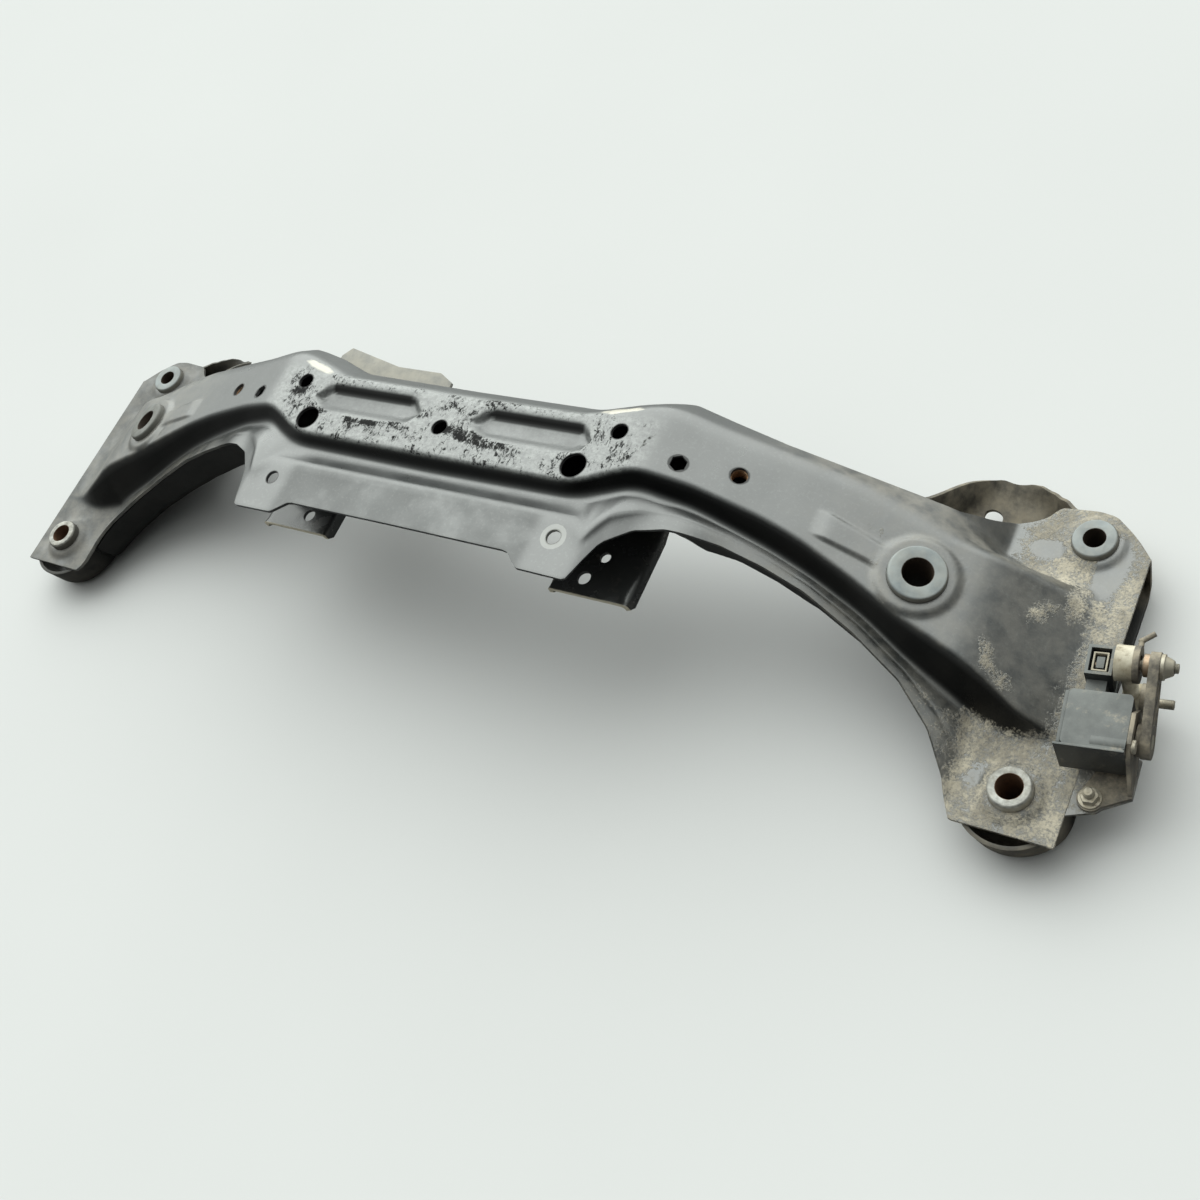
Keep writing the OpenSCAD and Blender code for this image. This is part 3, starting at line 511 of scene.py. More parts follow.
class Graph:
    """Small helper that builds the node tree of one material."""

    def __init__(self, name):
        self.material = bpy.data.materials.new(name)
        self.material.use_nodes = True
        self.tree = self.material.node_tree
        self.shader = self.tree.nodes["Principled BSDF"]
        self.place = self.tree.nodes.new("ShaderNodeTexCoord").outputs["Object"]

    def put(self, socket, value):
        if isinstance(value, bpy.types.NodeSocket):
            self.tree.links.new(value, socket)
        else:
            socket.default_value = value

    def math(self, kind, a, b=0.0):
        n = self.tree.nodes.new("ShaderNodeMath")
        n.operation = kind
        self.put(n.inputs[0], a)
        self.put(n.inputs[1], b)
        return n.outputs[0]

    def times(self, a, b):
        return self.math("MULTIPLY", a, b)

    def plus(self, a, b):
        return self.math("ADD", a, b)

    def most(self, a, b):
        return self.math("MAXIMUM", a, b)

    def inverse(self, a):
        return self.math("SUBTRACT", 1.0, a)

    def noise(self, scale, detail=3.0, rough=0.55, stretch=None, warp=0.0, turn=(0, 0, 0)):
        n = self.tree.nodes.new("ShaderNodeTexNoise")
        n.inputs["Scale"].default_value = scale
        n.inputs["Detail"].default_value = detail
        n.inputs["Roughness"].default_value = rough
        n.inputs["Distortion"].default_value = warp
        self.put(n.inputs["Vector"], self.stretched(stretch, turn) if stretch else self.place)
        return n.outputs["Fac"]

    def stretched(self, scale, turn):
        n = self.tree.nodes.new("ShaderNodeMapping")
        n.inputs["Scale"].default_value = scale
        n.inputs["Rotation"].default_value = turn
        self.put(n.inputs["Vector"], self.place)
        return n.outputs[0]

    def step(self, value, low, high):
        n = self.tree.nodes.new("ShaderNodeMapRange")
        n.interpolation_type = "SMOOTHSTEP"
        self.put(n.inputs["Value"], value)
        self.put(n.inputs["From Min"], low)
        self.put(n.inputs["From Max"], high)
        return n.outputs[0]

    def ragged(self, a, b, weight, low, high):
        """Step of a plus a share of b: a mask and a noise give a mask with a ragged edge."""
        return self.step(self.plus(a, self.times(b, weight)), low, high)

    def mix(self, factor, a, b):
        n = self.tree.nodes.new("ShaderNodeMix")
        n.data_type = "RGBA"
        self.put(n.inputs[0], factor)
        self.put(n.inputs[6], a if isinstance(a, bpy.types.NodeSocket) else (*a, 1))
        self.put(n.inputs[7], b if isinstance(b, bpy.types.NodeSocket) else (*b, 1))
        return n.outputs[2]

    def blend(self, factor, a, b):
        n = self.tree.nodes.new("ShaderNodeMix")
        self.put(n.inputs[0], factor)
        self.put(n.inputs[2], a)
        self.put(n.inputs[3], b)
        return n.outputs[0]

    def mask(self, name):
        n = self.tree.nodes.new("ShaderNodeAttribute")
        n.attribute_name = name
        return n.outputs["Fac"]

    def axes(self):
        n = self.tree.nodes.new("ShaderNodeSeparateXYZ")
        self.put(n.inputs[0], self.place)
        return n.outputs

    def facing(self):
        """The surface's own direction, before bump."""
        g = self.tree.nodes.new("ShaderNodeNewGeometry")
        n = self.tree.nodes.new("ShaderNodeSeparateXYZ")
        self.put(n.inputs[0], g.outputs["Normal"])
        return n.outputs

    def bump(self, height, distance, strength=1.0, under=None):
        n = self.tree.nodes.new("ShaderNodeBump")
        n.inputs["Strength"].default_value = strength
        n.inputs["Distance"].default_value = distance
        self.put(n.inputs["Height"], height)
        if under is not None:
            self.put(n.inputs["Normal"], under)
        return n.outputs[0]

    def finish(self, colour, rough, metal=0.0, normal=None, specular=0.5, ior=1.5):
        self.put(self.shader.inputs["Base Color"], colour)
        self.put(self.shader.inputs["Roughness"], rough)
        self.put(self.shader.inputs["Metallic"], metal)
        self.shader.inputs["Specular IOR Level"].default_value = specular
        self.shader.inputs["IOR"].default_value = ior
        if normal is not None:
            self.put(self.shader.inputs["Normal"], normal)
        return self.material


# Colours of paint and dirt, and the pale tint of painted highlights

SLATE_DARK, SLATE, SLATE_PALE = (0.0113, 0.013, 0.013), (0.0243, 0.0275, 0.0275), (0.0972, 0.107, 0.104)
WORN_DARK, WORN_PALE = (0.0324, 0.034, 0.034), (0.178, 0.186, 0.178)
BLACK, OIL = (0.013, 0.013, 0.013), (0.00972, 0.0081, 0.00648)
HIGHLIGHT_CREAM, WASHER_MARK = (0.62, 0.57, 0.46), (0.50, 0.50, 0.46)
MUD_PALE, MUD, MUD_DARK = (0.54, 0.48, 0.37), (0.39, 0.345, 0.265), (0.24, 0.21, 0.16)
DUST = (0.389, 0.348, 0.283)

# Painted rims: stretch in x of those on the legs, and radius of the hexagon's, just inside its corners
LEG_STRETCH, HEX_RIM_R = 0.95, 6.2


def holes(g, spots):
    """Signed distance in mm from the nearest hole rim; each spot is (x, y, radius, stretch in x)."""
    x, y = g.axes()[0], g.axes()[1]
    u = g.times(g.math("ABSOLUTE", x), 1 / MM)
    v = g.times(y, 1 / MM)
    best = None
    for cx, cy, r, stretch in spots:
        dx = g.times(g.math("SUBTRACT", u, cx), stretch)
        dy = g.math("SUBTRACT", v, cy)
        d = g.math("SQRT", g.plus(g.times(dx, dx), g.times(dy, dy)))
        d = g.math("SUBTRACT", d, r)
        best = d if best is None else g.math("MINIMUM", best, d)
    return best


def paint_with_wall_shade(g):
    """Slate paint with a film of dust, dull in places, and painted shade that turns the steep walls black."""
    colour = g.mix(g.step(g.noise(9, 3), 0.35, 0.68), SLATE_DARK, SLATE)
    colour = g.mix(g.times(g.step(g.noise(420, 2), 0.5, 0.8), 0.35), colour, SLATE_PALE)
    rough = g.blend(g.step(g.noise(38, 4), 0.3, 0.75), 0.27, 0.36)
    film = g.times(g.mask("dust"), g.step(g.noise(70, 6, 0.65), 0.25, 0.75))
    colour = g.mix(g.times(film, 0.6), colour, DUST)
    rough = g.blend(film, rough, 0.7)
    rough = g.blend(g.times(g.mask("dull"), g.step(g.noise(30, 5, 0.6), 0.2, 0.6)), rough, 0.8)
    # Painted shade: the steep walls, which the light misses, are turned black
    return g.mix(g.mask("wall_shade"), colour, BLACK), rough


def worn_paint(g, colour, rough):
    """Rubbed bright patches on the crown with black chips; also gives the two masks."""
    grain = g.noise(330, 5, 0.7, stretch=(0.45, 1.0, 1.0), warp=0.6)
    mottle = g.plus(g.times(grain, 0.55), g.times(g.noise(52, 5, 0.65), 0.45))
    worn = g.times(g.blend(g.step(mottle, 0.38, 0.58), 0.55, 1.0), g.mask("scuff"))
    bright = g.mix(g.step(g.noise(260, 5, 0.7), 0.3, 0.7), WORN_DARK, WORN_PALE)
    colour = g.mix(worn, colour, bright)
    rough = g.blend(worn, rough, g.blend(g.noise(300, 4, 0.7), 0.22, 0.42))
    streak = g.noise(520, 5, 0.75, stretch=(0.75, 0.45, 1.0), turn=(0, 0, 0.6), warp=0.9)
    chips = g.plus(g.times(streak, 0.55), g.times(g.noise(58, 4, 0.6), 0.45))
    speck = g.ragged(chips, g.mask("speck"), 0.23, 0.61, 0.69)
    speck = g.times(speck, g.step(g.mask("speck"), 0.05, 0.4))
    return g.mix(speck, colour, BLACK), g.blend(speck, rough, 0.85), worn, speck


def hole_marks(g, colour, rough):
    """Black rims of the holes, and the pale print of a washer around the right tab's hole."""
    flat = [(*hole, 1) for hole in (MIDDLE_HOLE, RACK_HOLE, ACCESS_HOLE, TAB_HOLE)]
    sloped = [(*HEX_HOLE[:2], HEX_RIM_R, LEG_STRETCH), (*NUT_HOLE, LEG_STRETCH)]
    rim = g.inverse(g.ragged(holes(g, flat + sloped), g.noise(300, 3), 0.8, 0.6, 1.5))
    colour = g.mix(rim, colour, BLACK)
    rough = g.blend(rim, rough, 0.8)
    ring = g.inverse(g.ragged(holes(g, [(*TAB_HOLE, 1)]), g.noise(220, 3), 0.8, 4.3, 5.1))
    ring = g.times(ring, g.step(g.axes()[0], 0.09, 0.1))
    return g.mix(g.times(ring, 0.3), colour, WASHER_MARK), rough


def shell_paint():
    g = Graph("shell_paint")
    colour, rough = paint_with_wall_shade(g)
    colour, rough, worn, speck = worn_paint(g, colour, rough)
    colour, rough = hole_marks(g, colour, rough)
    oil = g.ragged(g.mask("oil"), g.noise(260, 5, 0.65), 0.9, 1.26, 1.45)
    colour = g.mix(oil, colour, OIL)
    rough = g.blend(oil, rough, 0.5)
    # Pale streaks along the rear fold of the crown are painted highlights
    fold_highlight = g.ragged(g.mask("fold_highlight"), g.noise(120, 5, 0.65), 0.7, 0.9, 1.3)
    colour = g.mix(g.times(fold_highlight, 0.75), colour, HIGHLIGHT_CREAM)
    clot = g.plus(g.times(g.noise(95, 7, 0.72), 0.55), g.times(g.noise(560, 4, 0.65), 0.45))
    mud = g.ragged(clot, g.mask("mud"), 0.62, 0.80, 0.98)
    dirt = g.mix(g.step(g.noise(260, 5, 0.7), 0.35, 0.7), MUD_DARK, MUD)
    dirt = g.mix(g.step(g.noise(33, 4), 0.42, 0.62), dirt, MUD_PALE)
    colour = g.mix(g.times(mud, 0.9), colour, dirt)
    rough = g.blend(mud, rough, 0.93)
    peel = g.bump(g.noise(900, 2), 0.00025, 0.12)
    wear = g.bump(g.plus(worn, speck), 0.0001, 0.3, peel)
    crust = g.bump(g.times(mud, g.noise(500, 4, 0.7)), 0.0009, 0.7, wear)
    # A black base with a metal share reflects less than glossy paint, as oil and black chips do; on the steep
    # walls it is painted shade
    shade_chips_and_oil = g.most(g.times(g.mask("wall_shade"), 0.8), g.most(g.times(speck, 0.85), oil))
    metal = g.times(shade_chips_and_oil, g.inverse(mud))
    return g.finish(colour, rough, metal, crust, 1.0, 1.7)


def lower_paint():
    g = Graph("lower_paint")
    colour = g.mix(g.noise(14, 4), (0.00648, 0.00729, 0.00729), (0.0146, 0.0154, 0.0154))
    film = g.times(g.mask("dust"), g.step(g.noise(60, 6, 0.65), 0.2, 0.72))
    colour = g.mix(film, colour, g.mix(g.noise(90, 5), (0.243, 0.203, 0.146), (0.36, 0.32, 0.25)))
    rough = g.blend(film, g.blend(g.noise(40, 3), 0.38, 0.55), 0.9)
    bump = g.bump(g.noise(700, 3), 0.0003, 0.3)
    return g.finish(colour, rough, 0.0, bump, 0.5)


def dusted(g, colour, rough, amount, tone=DUST, scale=75.0):
    """Dust that lies on faces looking up, broken by noise."""
    up = g.step(g.facing()[2], 0.1, 0.9)
    film = g.times(g.step(g.noise(scale, 6, 0.68), 0.30, 0.72), g.blend(up, 0.35 * amount, amount))
    return g.mix(film, colour, tone), g.blend(film, rough, 0.85)


def sleeve_steel():
    g = Graph("sleeve_steel")
    bright = g.mix(g.step(g.noise(170, 5, 0.65), 0.3, 0.7), (0.178, 0.178, 0.17), (0.47, 0.47, 0.446))
    colour, rough = dusted(g, bright, g.blend(g.noise(120, 4), 0.42, 0.6), 0.35, MUD)
    rust = g.mix(g.noise(140, 5, 0.7), (0.028, 0.018, 0.012), (0.20, 0.10, 0.05))
    inside = g.ragged(g.mask("bore"), g.noise(230, 4), 0.25, 0.55, 0.8)
    colour = g.mix(inside, colour, rust)
    side = g.times(g.inverse(g.step(g.facing()[2], 0.05, 0.6)), g.inverse(inside))
    grime = g.times(side, g.step(g.noise(90, 6, 0.7), 0.25, 0.6))
    colour = g.mix(grime, colour, g.mix(g.noise(200, 4), MUD_DARK, MUD))
    faded = g.mix(g.noise(60, 4), BLACK, (0.05, 0.048, 0.042))
    # The left sleeve's sides are turned near black
    colour = g.mix(g.times(side, g.mask("faded")), colour, faded)
    rough = g.blend(g.most(inside, grime), rough, 0.85)
    metal = g.math("SUBTRACT", 0.45, g.times(g.most(inside, grime), 0.45))
    return g.finish(colour, rough, metal, g.bump(g.noise(420, 4, 0.65), 0.0004, 0.45))


def collar_paint():
    g = Graph("collar_paint")
    colour = g.mix(g.step(g.noise(55, 5, 0.6), 0.3, 0.7), (0.194, 0.219, 0.23), (0.308, 0.34, 0.343))
    up = g.step(g.facing()[2], 0.3, 0.85)
    colour = g.mix(up, g.mix(g.noise(80, 5), (0.0729, 0.081, 0.081), (0.211, 0.194, 0.162)), colour)
    colour, rough = dusted(g, colour, g.blend(g.noise(90, 4), 0.42, 0.6), 0.30)
    # The left collar is darker outside
    film = g.times(g.mask("faded"), g.blend(g.step(g.noise(60, 5, 0.65), 0.3, 0.7), 0.6, 0.95))
    colour = g.mix(film, colour, g.mix(g.noise(110, 5), (0.07, 0.068, 0.06), (0.15, 0.145, 0.125)))
    inside = g.ragged(g.mask("bore"), g.noise(230, 4), 0.25, 0.55, 0.8)
    rust = g.mix(g.noise(160, 5), (0.00972, 0.0081, 0.0081), (0.081, 0.0567, 0.0389))
    colour = g.mix(inside, colour, rust)
    return g.finish(colour, rough, 0.0, g.bump(g.noise(600, 3), 0.0003, 0.3))


def bracket_paint():
    g = Graph("bracket_paint")
    colour = g.mix(g.noise(30, 4), (0.026, 0.026, 0.026), (0.048, 0.050, 0.050))
    rough = g.blend(g.step(g.noise(45, 4), 0.35, 0.7), 0.16, 0.32)
    # A pale beige line along the front edge is a painted highlight
    edge = g.ragged(g.mask("edge"), g.noise(150, 5, 0.7), 0.5, 0.75, 1.05)
    colour = g.mix(edge, colour, (0.42, 0.38, 0.29))
    film = g.times(g.step(g.noise(55, 6, 0.7), 0.5, 0.85), 0.35)
    colour = g.mix(film, colour, DUST)
    rough = g.blend(g.most(edge, film), rough, 0.75)
    return g.finish(colour, rough, 0.0, g.bump(g.noise(800, 2), 0.0002, 0.2), 0.8)


def rear_bracket_paint():
    g = Graph("rear_bracket_paint")
    colour = g.mix(g.step(g.noise(40, 5, 0.65), 0.3, 0.7), (0.162, 0.162, 0.154), (0.34, 0.316, 0.267))
    colour, rough = dusted(g, colour, 0.55, 0.55, (0.356, 0.332, 0.283), 60)
    return g.finish(colour, rough, 0.0, g.bump(g.noise(500, 4), 0.0004, 0.4))


def threaded(g, pitch, depth):
    """Bump of a thread with the given pitch in mm, where the thread mask is set."""
    turn = g.math("SINE", g.times(g.mask("axial"), 2 * math.pi / pitch))
    return g.bump(g.times(turn, g.mask("thread")), depth, 0.9)


def fastener_steel():
    g = Graph("fastener_steel")
    colour = g.mix(g.noise(160, 5, 0.65), (0.389, 0.356, 0.292), (0.47, 0.44, 0.37))
    colour, rough = dusted(g, colour, g.blend(g.noise(120, 4), 0.28, 0.5), 0.65, (0.44, 0.38, 0.28), 160)
    grime = g.times(g.step(g.noise(130, 5, 0.7), 0.52, 0.74), 0.8)
    colour = g.mix(grime, colour, (0.138, 0.105, 0.0729))
    rough = g.blend(grime, rough, 0.85)
    metal = g.math("SUBTRACT", 0.7, g.times(grime, 0.7))
    thread = threaded(g, 1.0, 0.0004)
    return g.finish(colour, rough, metal, g.bump(g.noise(520, 4), 0.0002, 0.35, thread))


def rusty_steel():
    g = Graph("rusty_steel")
    colour = g.mix(g.step(g.noise(210, 6, 0.7), 0.3, 0.7), (0.113, 0.0616, 0.0356), (0.486, 0.267, 0.13))
    colour = g.mix(g.step(g.noise(90, 4), 0.55, 0.75), colour, (0.36, 0.29, 0.20))
    rough = g.blend(g.noise(100, 3), 0.6, 0.9)
    thread = threaded(g, 1.5, 0.0005)
    return g.finish(colour, rough, 0.25, g.bump(g.noise(450, 5, 0.7), 0.0005, 0.6, thread))


def sensor_plastic():
    g = Graph("sensor_plastic")
    colour = g.mix(g.noise(70, 5), (0.0162, 0.0186, 0.0194), (0.0356, 0.0389, 0.0405))
    up = g.step(g.facing()[2], 0.4, 0.9)
    film = g.times(up, g.blend(g.step(g.noise(48, 6, 0.65), 0.28, 0.72), 0.45, 1.0))
    colour = g.mix(film, colour, g.mix(g.noise(110, 5), (0.138, 0.146, 0.143), (0.243, 0.251, 0.24)))
    tan = g.times(g.step(g.noise(95, 6, 0.72), 0.54, 0.75), g.blend(up, 0.35, 0.75))
    colour = g.mix(tan, colour, (0.437, 0.381, 0.292))
    lines = g.ragged(g.mask("edge"), g.noise(300, 4), 0.4, 0.75, 1.1)
    colour = g.mix(lines, colour, (0.40, 0.36, 0.28))
    rough = g.blend(g.most(film, tan), g.blend(g.noise(60, 3), 0.34, 0.5), 0.82)
    return g.finish(colour, rough, 0.0, g.bump(g.noise(900, 3), 0.0002, 0.35), 0.6)


def link_plastic():
    g = Graph("link_plastic")
    colour = g.mix(g.step(g.noise(65, 5, 0.6), 0.3, 0.7), (0.36, 0.31, 0.22), (0.66, 0.61, 0.49))
    colour = g.mix(g.times(g.step(g.noise(190, 6, 0.72), 0.50, 0.70), 0.75), colour, (0.243, 0.194, 0.13))
    rough = g.blend(g.noise(80, 4), 0.55, 0.85)
    return g.finish(colour, rough, 0.0, g.bump(g.noise(420, 5, 0.7), 0.0004, 0.5))


def clip_plastic():
    g = Graph("clip_plastic")
    colour = g.mix(g.noise(85, 5), (0.0454, 0.0405, 0.0356), (0.121, 0.107, 0.0875))
    colour, rough = dusted(g, colour, g.blend(g.noise(70, 4), 0.4, 0.6), 0.85, (0.405, 0.348, 0.259), 85)
    return g.finish(colour, rough, 0.0, g.bump(g.noise(520, 5, 0.65), 0.0004, 0.45))


def washer_copper():
    g = Graph("washer_copper")
    colour = g.mix(g.step(g.noise(140, 5, 0.65), 0.3, 0.7), (0.40, 0.27, 0.18), (0.52, 0.42, 0.31))
    colour = g.mix(g.times(g.step(g.noise(220, 5), 0.5, 0.75), 0.7), colour, (0.486, 0.405, 0.275))
    return g.finish(colour, g.blend(g.noise(90, 4), 0.32, 0.6), 0.7, g.bump(g.noise(380, 4), 0.0003, 0.4))


# Masks of wear and dirt, from where a point lies on the frame

def near(x, y, at, size, angle=0.0, edge=0.5):
    """1 inside an ellipse, falling to 0 at its edge."""
    c, s = math.cos(math.radians(angle)), math.sin(math.radians(angle))
    dx, dy = x - at[0], y - at[1]
    r = np.hypot((dx * c + dy * s) / size[0], (dy * c - dx * s) / size[1])
    return 1 - smooth(edge, 1.0, r)


def patches(x, y, spots):
    """Strongest of several soft ellipses."""
    return np.maximum.reduce([k * near(x, y, at, size, angle, edge) for k, at, size, angle, edge in spots])


def store(obj, **masks):
    for name, values in masks.items():
        layer = obj.data.attributes.new(name, "FLOAT", "POINT")
        layer.data.foreach_set("value", np.ascontiguousarray(values, dtype=np.float32))


def points_of(obj):
    co = np.empty(len(obj.data.vertices) * 3, np.float32)
    obj.data.vertices.foreach_get("co", co)
    return (co.reshape(-1, 3).astype(float) / MM).T


# Patches on the upper pressing: strength, centre, half axes, angle and the share that has full strength

CHIPPED = [(1, (-65, 112), (70, 10), 0, 0.3), (1, (35, 112), (55, 13), -6, 0.3),
           (1, (-148, 128), (16, 14), 40, 0.2), (1, (0, 134), (20, 18), 0, 0.2),
           (0.8, (163, 122), (18, 12), 60, 0.2), (0.6, (100, 116), (40, 6), 0, 0.2)]
OILY = [(0.85, (176, 143), (13, 6), 40, 0.5), (0.85, (171, 130), (9, 4), 70, 0.5),
        (0.8, (-133, 121), (16, 4), 35, 0.5)]
# Pale streaks along the rear fold of the crown: painted highlights
FOLD_HIGHLIGHTS = [(1, (141, 155), (26, 5), 12, 0.5), (1, (-143, 152), (26, 6), -14, 0.5)]
CLEAN = [(1, (418, 174), (14, 9), 0, 0.5), (1, (463, 166), (12, 30), -8, 0.5),
         (1, (424, 4), (7, 12), -30, 0.5)]
MUDDY = [(1, (417, 70), (34, 12), 112, 0.1), (1, (428, 60), (22, 14), 150, 0.1),
         (1, (436, 116), (36, 16), 55, 0.0), (1, (452, 134), (16, 42), 5, 0.2),
         (0.8, (331, 127), (26, 12), -15, 0.0), (0.7, (462, 62), (16, 34), 0, 0.5)]


def front_wall(u, y):
    """1 on the steep wall between the groove and the crown."""
    return smooth(-3, 3, y - valley_y(u)) * (1 - smooth(-3, 1, y - soft(u, CROWN_FRONT, 8)))


def wear_and_shade_masks(x, y, z):
    """Rubbed, chipped and dull parts of the paint, and painted shade that turns the steep walls black."""
    u = np.abs(x)
    on_crown = smooth(107.5, 110, z) * (1 - smooth(146, 156, y))
    in_bead = smooth(104, 106, z)
    bead = near(u, y, BEAD_AT, (56, 15), 0, 0.85)
    along = np.maximum(np.abs(u - BEAD_AT[0]) - 37, 0)
    rear_wall = 1 - smooth(3.6, 4.8, np.hypot(along, y - BEAD_AT[1] - 10))
    bead_floor = 1 - smooth(9, 11, np.hypot(along, y - BEAD_AT[1] + 2))
    scuff = np.maximum(on_crown, in_bead * bead) * (1 - smooth(160, 205, u))
    scuff = scuff * (1 - np.maximum(rear_wall, 0.75 * bead_floor))
    speck = on_crown * (1 - bead) * (1 - smooth(150, 185, u))
    speck = speck * np.maximum(0.42, 0.72 * patches(x, y, CHIPPED))
    dull = np.maximum.reduce([0.9 * smooth(370, 430, u) * (1 - smooth(0, 60, x)),
                              0.45 * bead_floor * smooth(100, 104, z),
                              0.55 * smooth(-2, 2, FLANGE_IN - y) * (1 - smooth(112, 124, u))])
    # Painted shade: black on the wall in front of the crown and on the beads' rear walls
    wall_shade = np.maximum(front_wall(u, y) * (1 - smooth(440, 470, u)), rear_wall * in_bead)
    return {"scuff": scuff, "speck": speck, "dull": dull, "wall_shade": wall_shade}


def dirt_and_highlight_masks(x, y, z):
    """Oil, mud and dust, which lie mostly on the right end, and painted highlights along the crown's rear
    fold.
    """
    u = np.abs(x)
    right, high = smooth(0, 60, x), smooth(95, 105, z)
    past_groove = y - valley_y(u)
    plate = (1 - smooth(-9, 2, z)) * smooth(380, 410, u)
    ramp_low = smooth(395, 425, u) * (1 - smooth(2, 22, z))
    seat = np.hypot((u - COLLAR_AT[0]) / math.cos(LEG_TILT), y - COLLAR_AT[1])
    ring = (1 - smooth(3, 9, np.abs(seat - 26.5))) * smooth(20, 60, z)
    flange = smooth(300, 400, x) * (1 - smooth(-14, 6, past_groove))
    mud = plate * np.where(x > 0, 0.66, 0.30) * (1 - 0.6 * patches(x, y, CLEAN))
    mud = np.maximum.reduce([mud, right * 0.66 * patches(x, y, MUDDY), right * 0.2 * ramp_low,
                             right * 0.40 * ring, 0.5 * flange])
    rear = smooth(200, 330, x) * smooth(-6, 4, y - soft(u, CROWN_REAR, 10)) * smooth(0, 20, z)
    dust = np.maximum.reduce([0.35 * right * smooth(220, 420, u), 0.7 * rear, 0.6 * ring,
                              0.45 * smooth(250, 330, u) * (1 - right),
                              0.55 * smooth(180, 320, u) * (1 - smooth(-10, 4, past_groove))])
    # The pale streaks along the crown's rear fold are painted highlights
    return {"oil": high * patches(x, y, OILY), "fold_highlight": high * patches(x, y, FOLD_HIGHLIGHTS), "mud": mud,
            "dust": dust * (1 - front_wall(u, y))}


def mask_upper(obj):
    x, y, z = points_of(obj)
    store(obj, **wear_and_shade_masks(x, y, z), **dirt_and_highlight_masks(x, y, z))


def mask_lower(obj):
    x, y = points_of(obj)[:2]
    u = np.abs(x)
    dish = smooth(335, 352, u) * smooth(160, 172, y)
    cup = smooth(405, 425, u) * (1 - smooth(-8, 10, y))
    dust = np.maximum(0.85 * dish, 0.5 * cup) * np.where(x > 0, 1.0, 0.35)
    store(obj, dust=np.maximum(dust, 0.03))


upper = build_upper()
mask_upper(upper)
upper.data.materials.append(shell_paint())
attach(upper, "frame")
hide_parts("upper_shell")

lower = build_lower()
mask_lower(lower)
lower.data.materials.append(lower_paint())
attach(lower, "frame")
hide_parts("lower_middle", "lower_end_left", "lower_end_right")


# Small pieces: for each slot its nodes, with the rounding of their edges in mm

FINISH = {
    "shell_paint": upper.data.materials[0], "sleeve_steel": sleeve_steel(), "collar_paint": collar_paint(),
    "bracket_paint": bracket_paint(), "rear_bracket_paint": rear_bracket_paint(),
    "fastener_steel": fastener_steel(), "rusty_steel": rusty_steel(), "sensor_plastic": sensor_plastic(),
    "link_plastic": link_plastic(), "clip_plastic": clip_plastic(), "washer_copper": washer_copper(),
}
SMALL = {
    "sleeve_steel": {"front_sleeve_left": 0.7, "front_sleeve_right": 0.7},
    "collar_paint": {"rear_sleeve_left": 0.7, "rear_sleeve_right": 0.7, "arm_collar_left": 0.9,
                     "arm_collar_right": 0.9},
    "rear_bracket_paint": {"rear_bracket": 0.8},
    "shell_paint": {"sensor_ear": 0.5},
    "sensor_plastic": {"sensor_housing": 0.7, "sensor_cover": 0.5},
    "clip_plastic": {"sensor_bracket": 0.6, "sensor_lever": 0.5, "link_clips": 0.6},
    "link_plastic": {"link_rod": 1.2},
    "washer_copper": {"stud_washer": 0.3, "connector_terminals": 0.15},
    "rusty_steel": {"weld_nuts": 0.5, "arm_stud_nut": 0.4},
    "fastener_steel": {"bracket_stud": 0.5, "bracket_nut": 0.4, "housing_screws": 0.6, "sensor_shaft": 0.5,
                       "lever_ball_stud": 0.4, "stud_nut": 0.5, "arm_ball_stud": 0.4},
}
RIDES = {"lever": ("sensor_shaft", "sensor_lever", "lever_ball_stud", "stud_washer", "stud_nut"),
         "link": ("link_rod", "link_clips"), "arm_stud": ("arm_ball_stud", "arm_stud_nut")}
BODY = {name: body for body, names in RIDES.items() for name in names}

# Inner radius of sleeves and collars, and those whose outside is darker
BORE_R = {"front_sleeve": 8.5, "rear_sleeve": 7.2, "arm_collar": 10.0}
DARKER_LEFT = ("arm_collar_left", "front_sleeve_left")

# Threads: a point on the axis, its direction, and the thread's two ends along it
THREADS = {"bracket_stud": ((*STUD_AT, 0), UP, -8, 20), "lever_ball_stud": (BALL_AT, SHAFT_WAY, 21, 60),
           "arm_ball_stud": (ARM_BALL_AT, SHAFT_WAY, 15, 60)}


def dress(obj, slot, node=None, body="frame"):
    obj.data.materials.append(FINISH[slot])
    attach(obj, body)
    if node:
        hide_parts(node)


def from_axis(obj, at, axis):
    """Distance of each point from an axis, and its place along it, in mm."""
    axis = np.array(Vector(axis).normalized())
    d = points_of(obj).T - np.array(at)
    along = d @ axis
    return np.linalg.norm(d - along[:, None] * axis, axis=1), along


def mask_bore(obj, kind, name):
    s = -1 if name.endswith("left") else 1
    axes = {"front_sleeve": ((s * END_X, 0, 0), UP), "rear_sleeve": ((s * REAR_AT[0], REAR_AT[1], 0), UP),
            "arm_collar": (on_top(s, COLLAR_AT), lean(s))}
    away = from_axis(obj, *axes[kind])[0]
    store(obj, bore=1 - smooth(0.1, 0.6, away - BORE_R[kind]), faded=np.full(len(away), float(name in DARKER_LEFT)))


def mask_small(obj, name):
    kind = name.rsplit("_", 1)[0]
    if kind in BORE_R:
        mask_bore(obj, kind, name)
    if name in THREADS:
        at, axis, low, high = THREADS[name]
        along = from_axis(obj, at, axis)[1]
        store(obj, axial=along, thread=((along > low) & (along < high)).astype(float))
    if name == "weld_nuts":
        x, y, z = points_of(obj)
        across = (np.abs(x) - NUT_HOLE[0]) / math.cos(LEG_TILT) - 2
        store(obj, axial=z / math.cos(LEG_TILT), thread=np.hypot(across, y - NUT_HOLE[1]) < 6.5)
    if name == "sensor_ear":
        count = len(obj.data.vertices)
        store(obj, mud=np.full(count, 0.5), dust=np.full(count, 0.6))


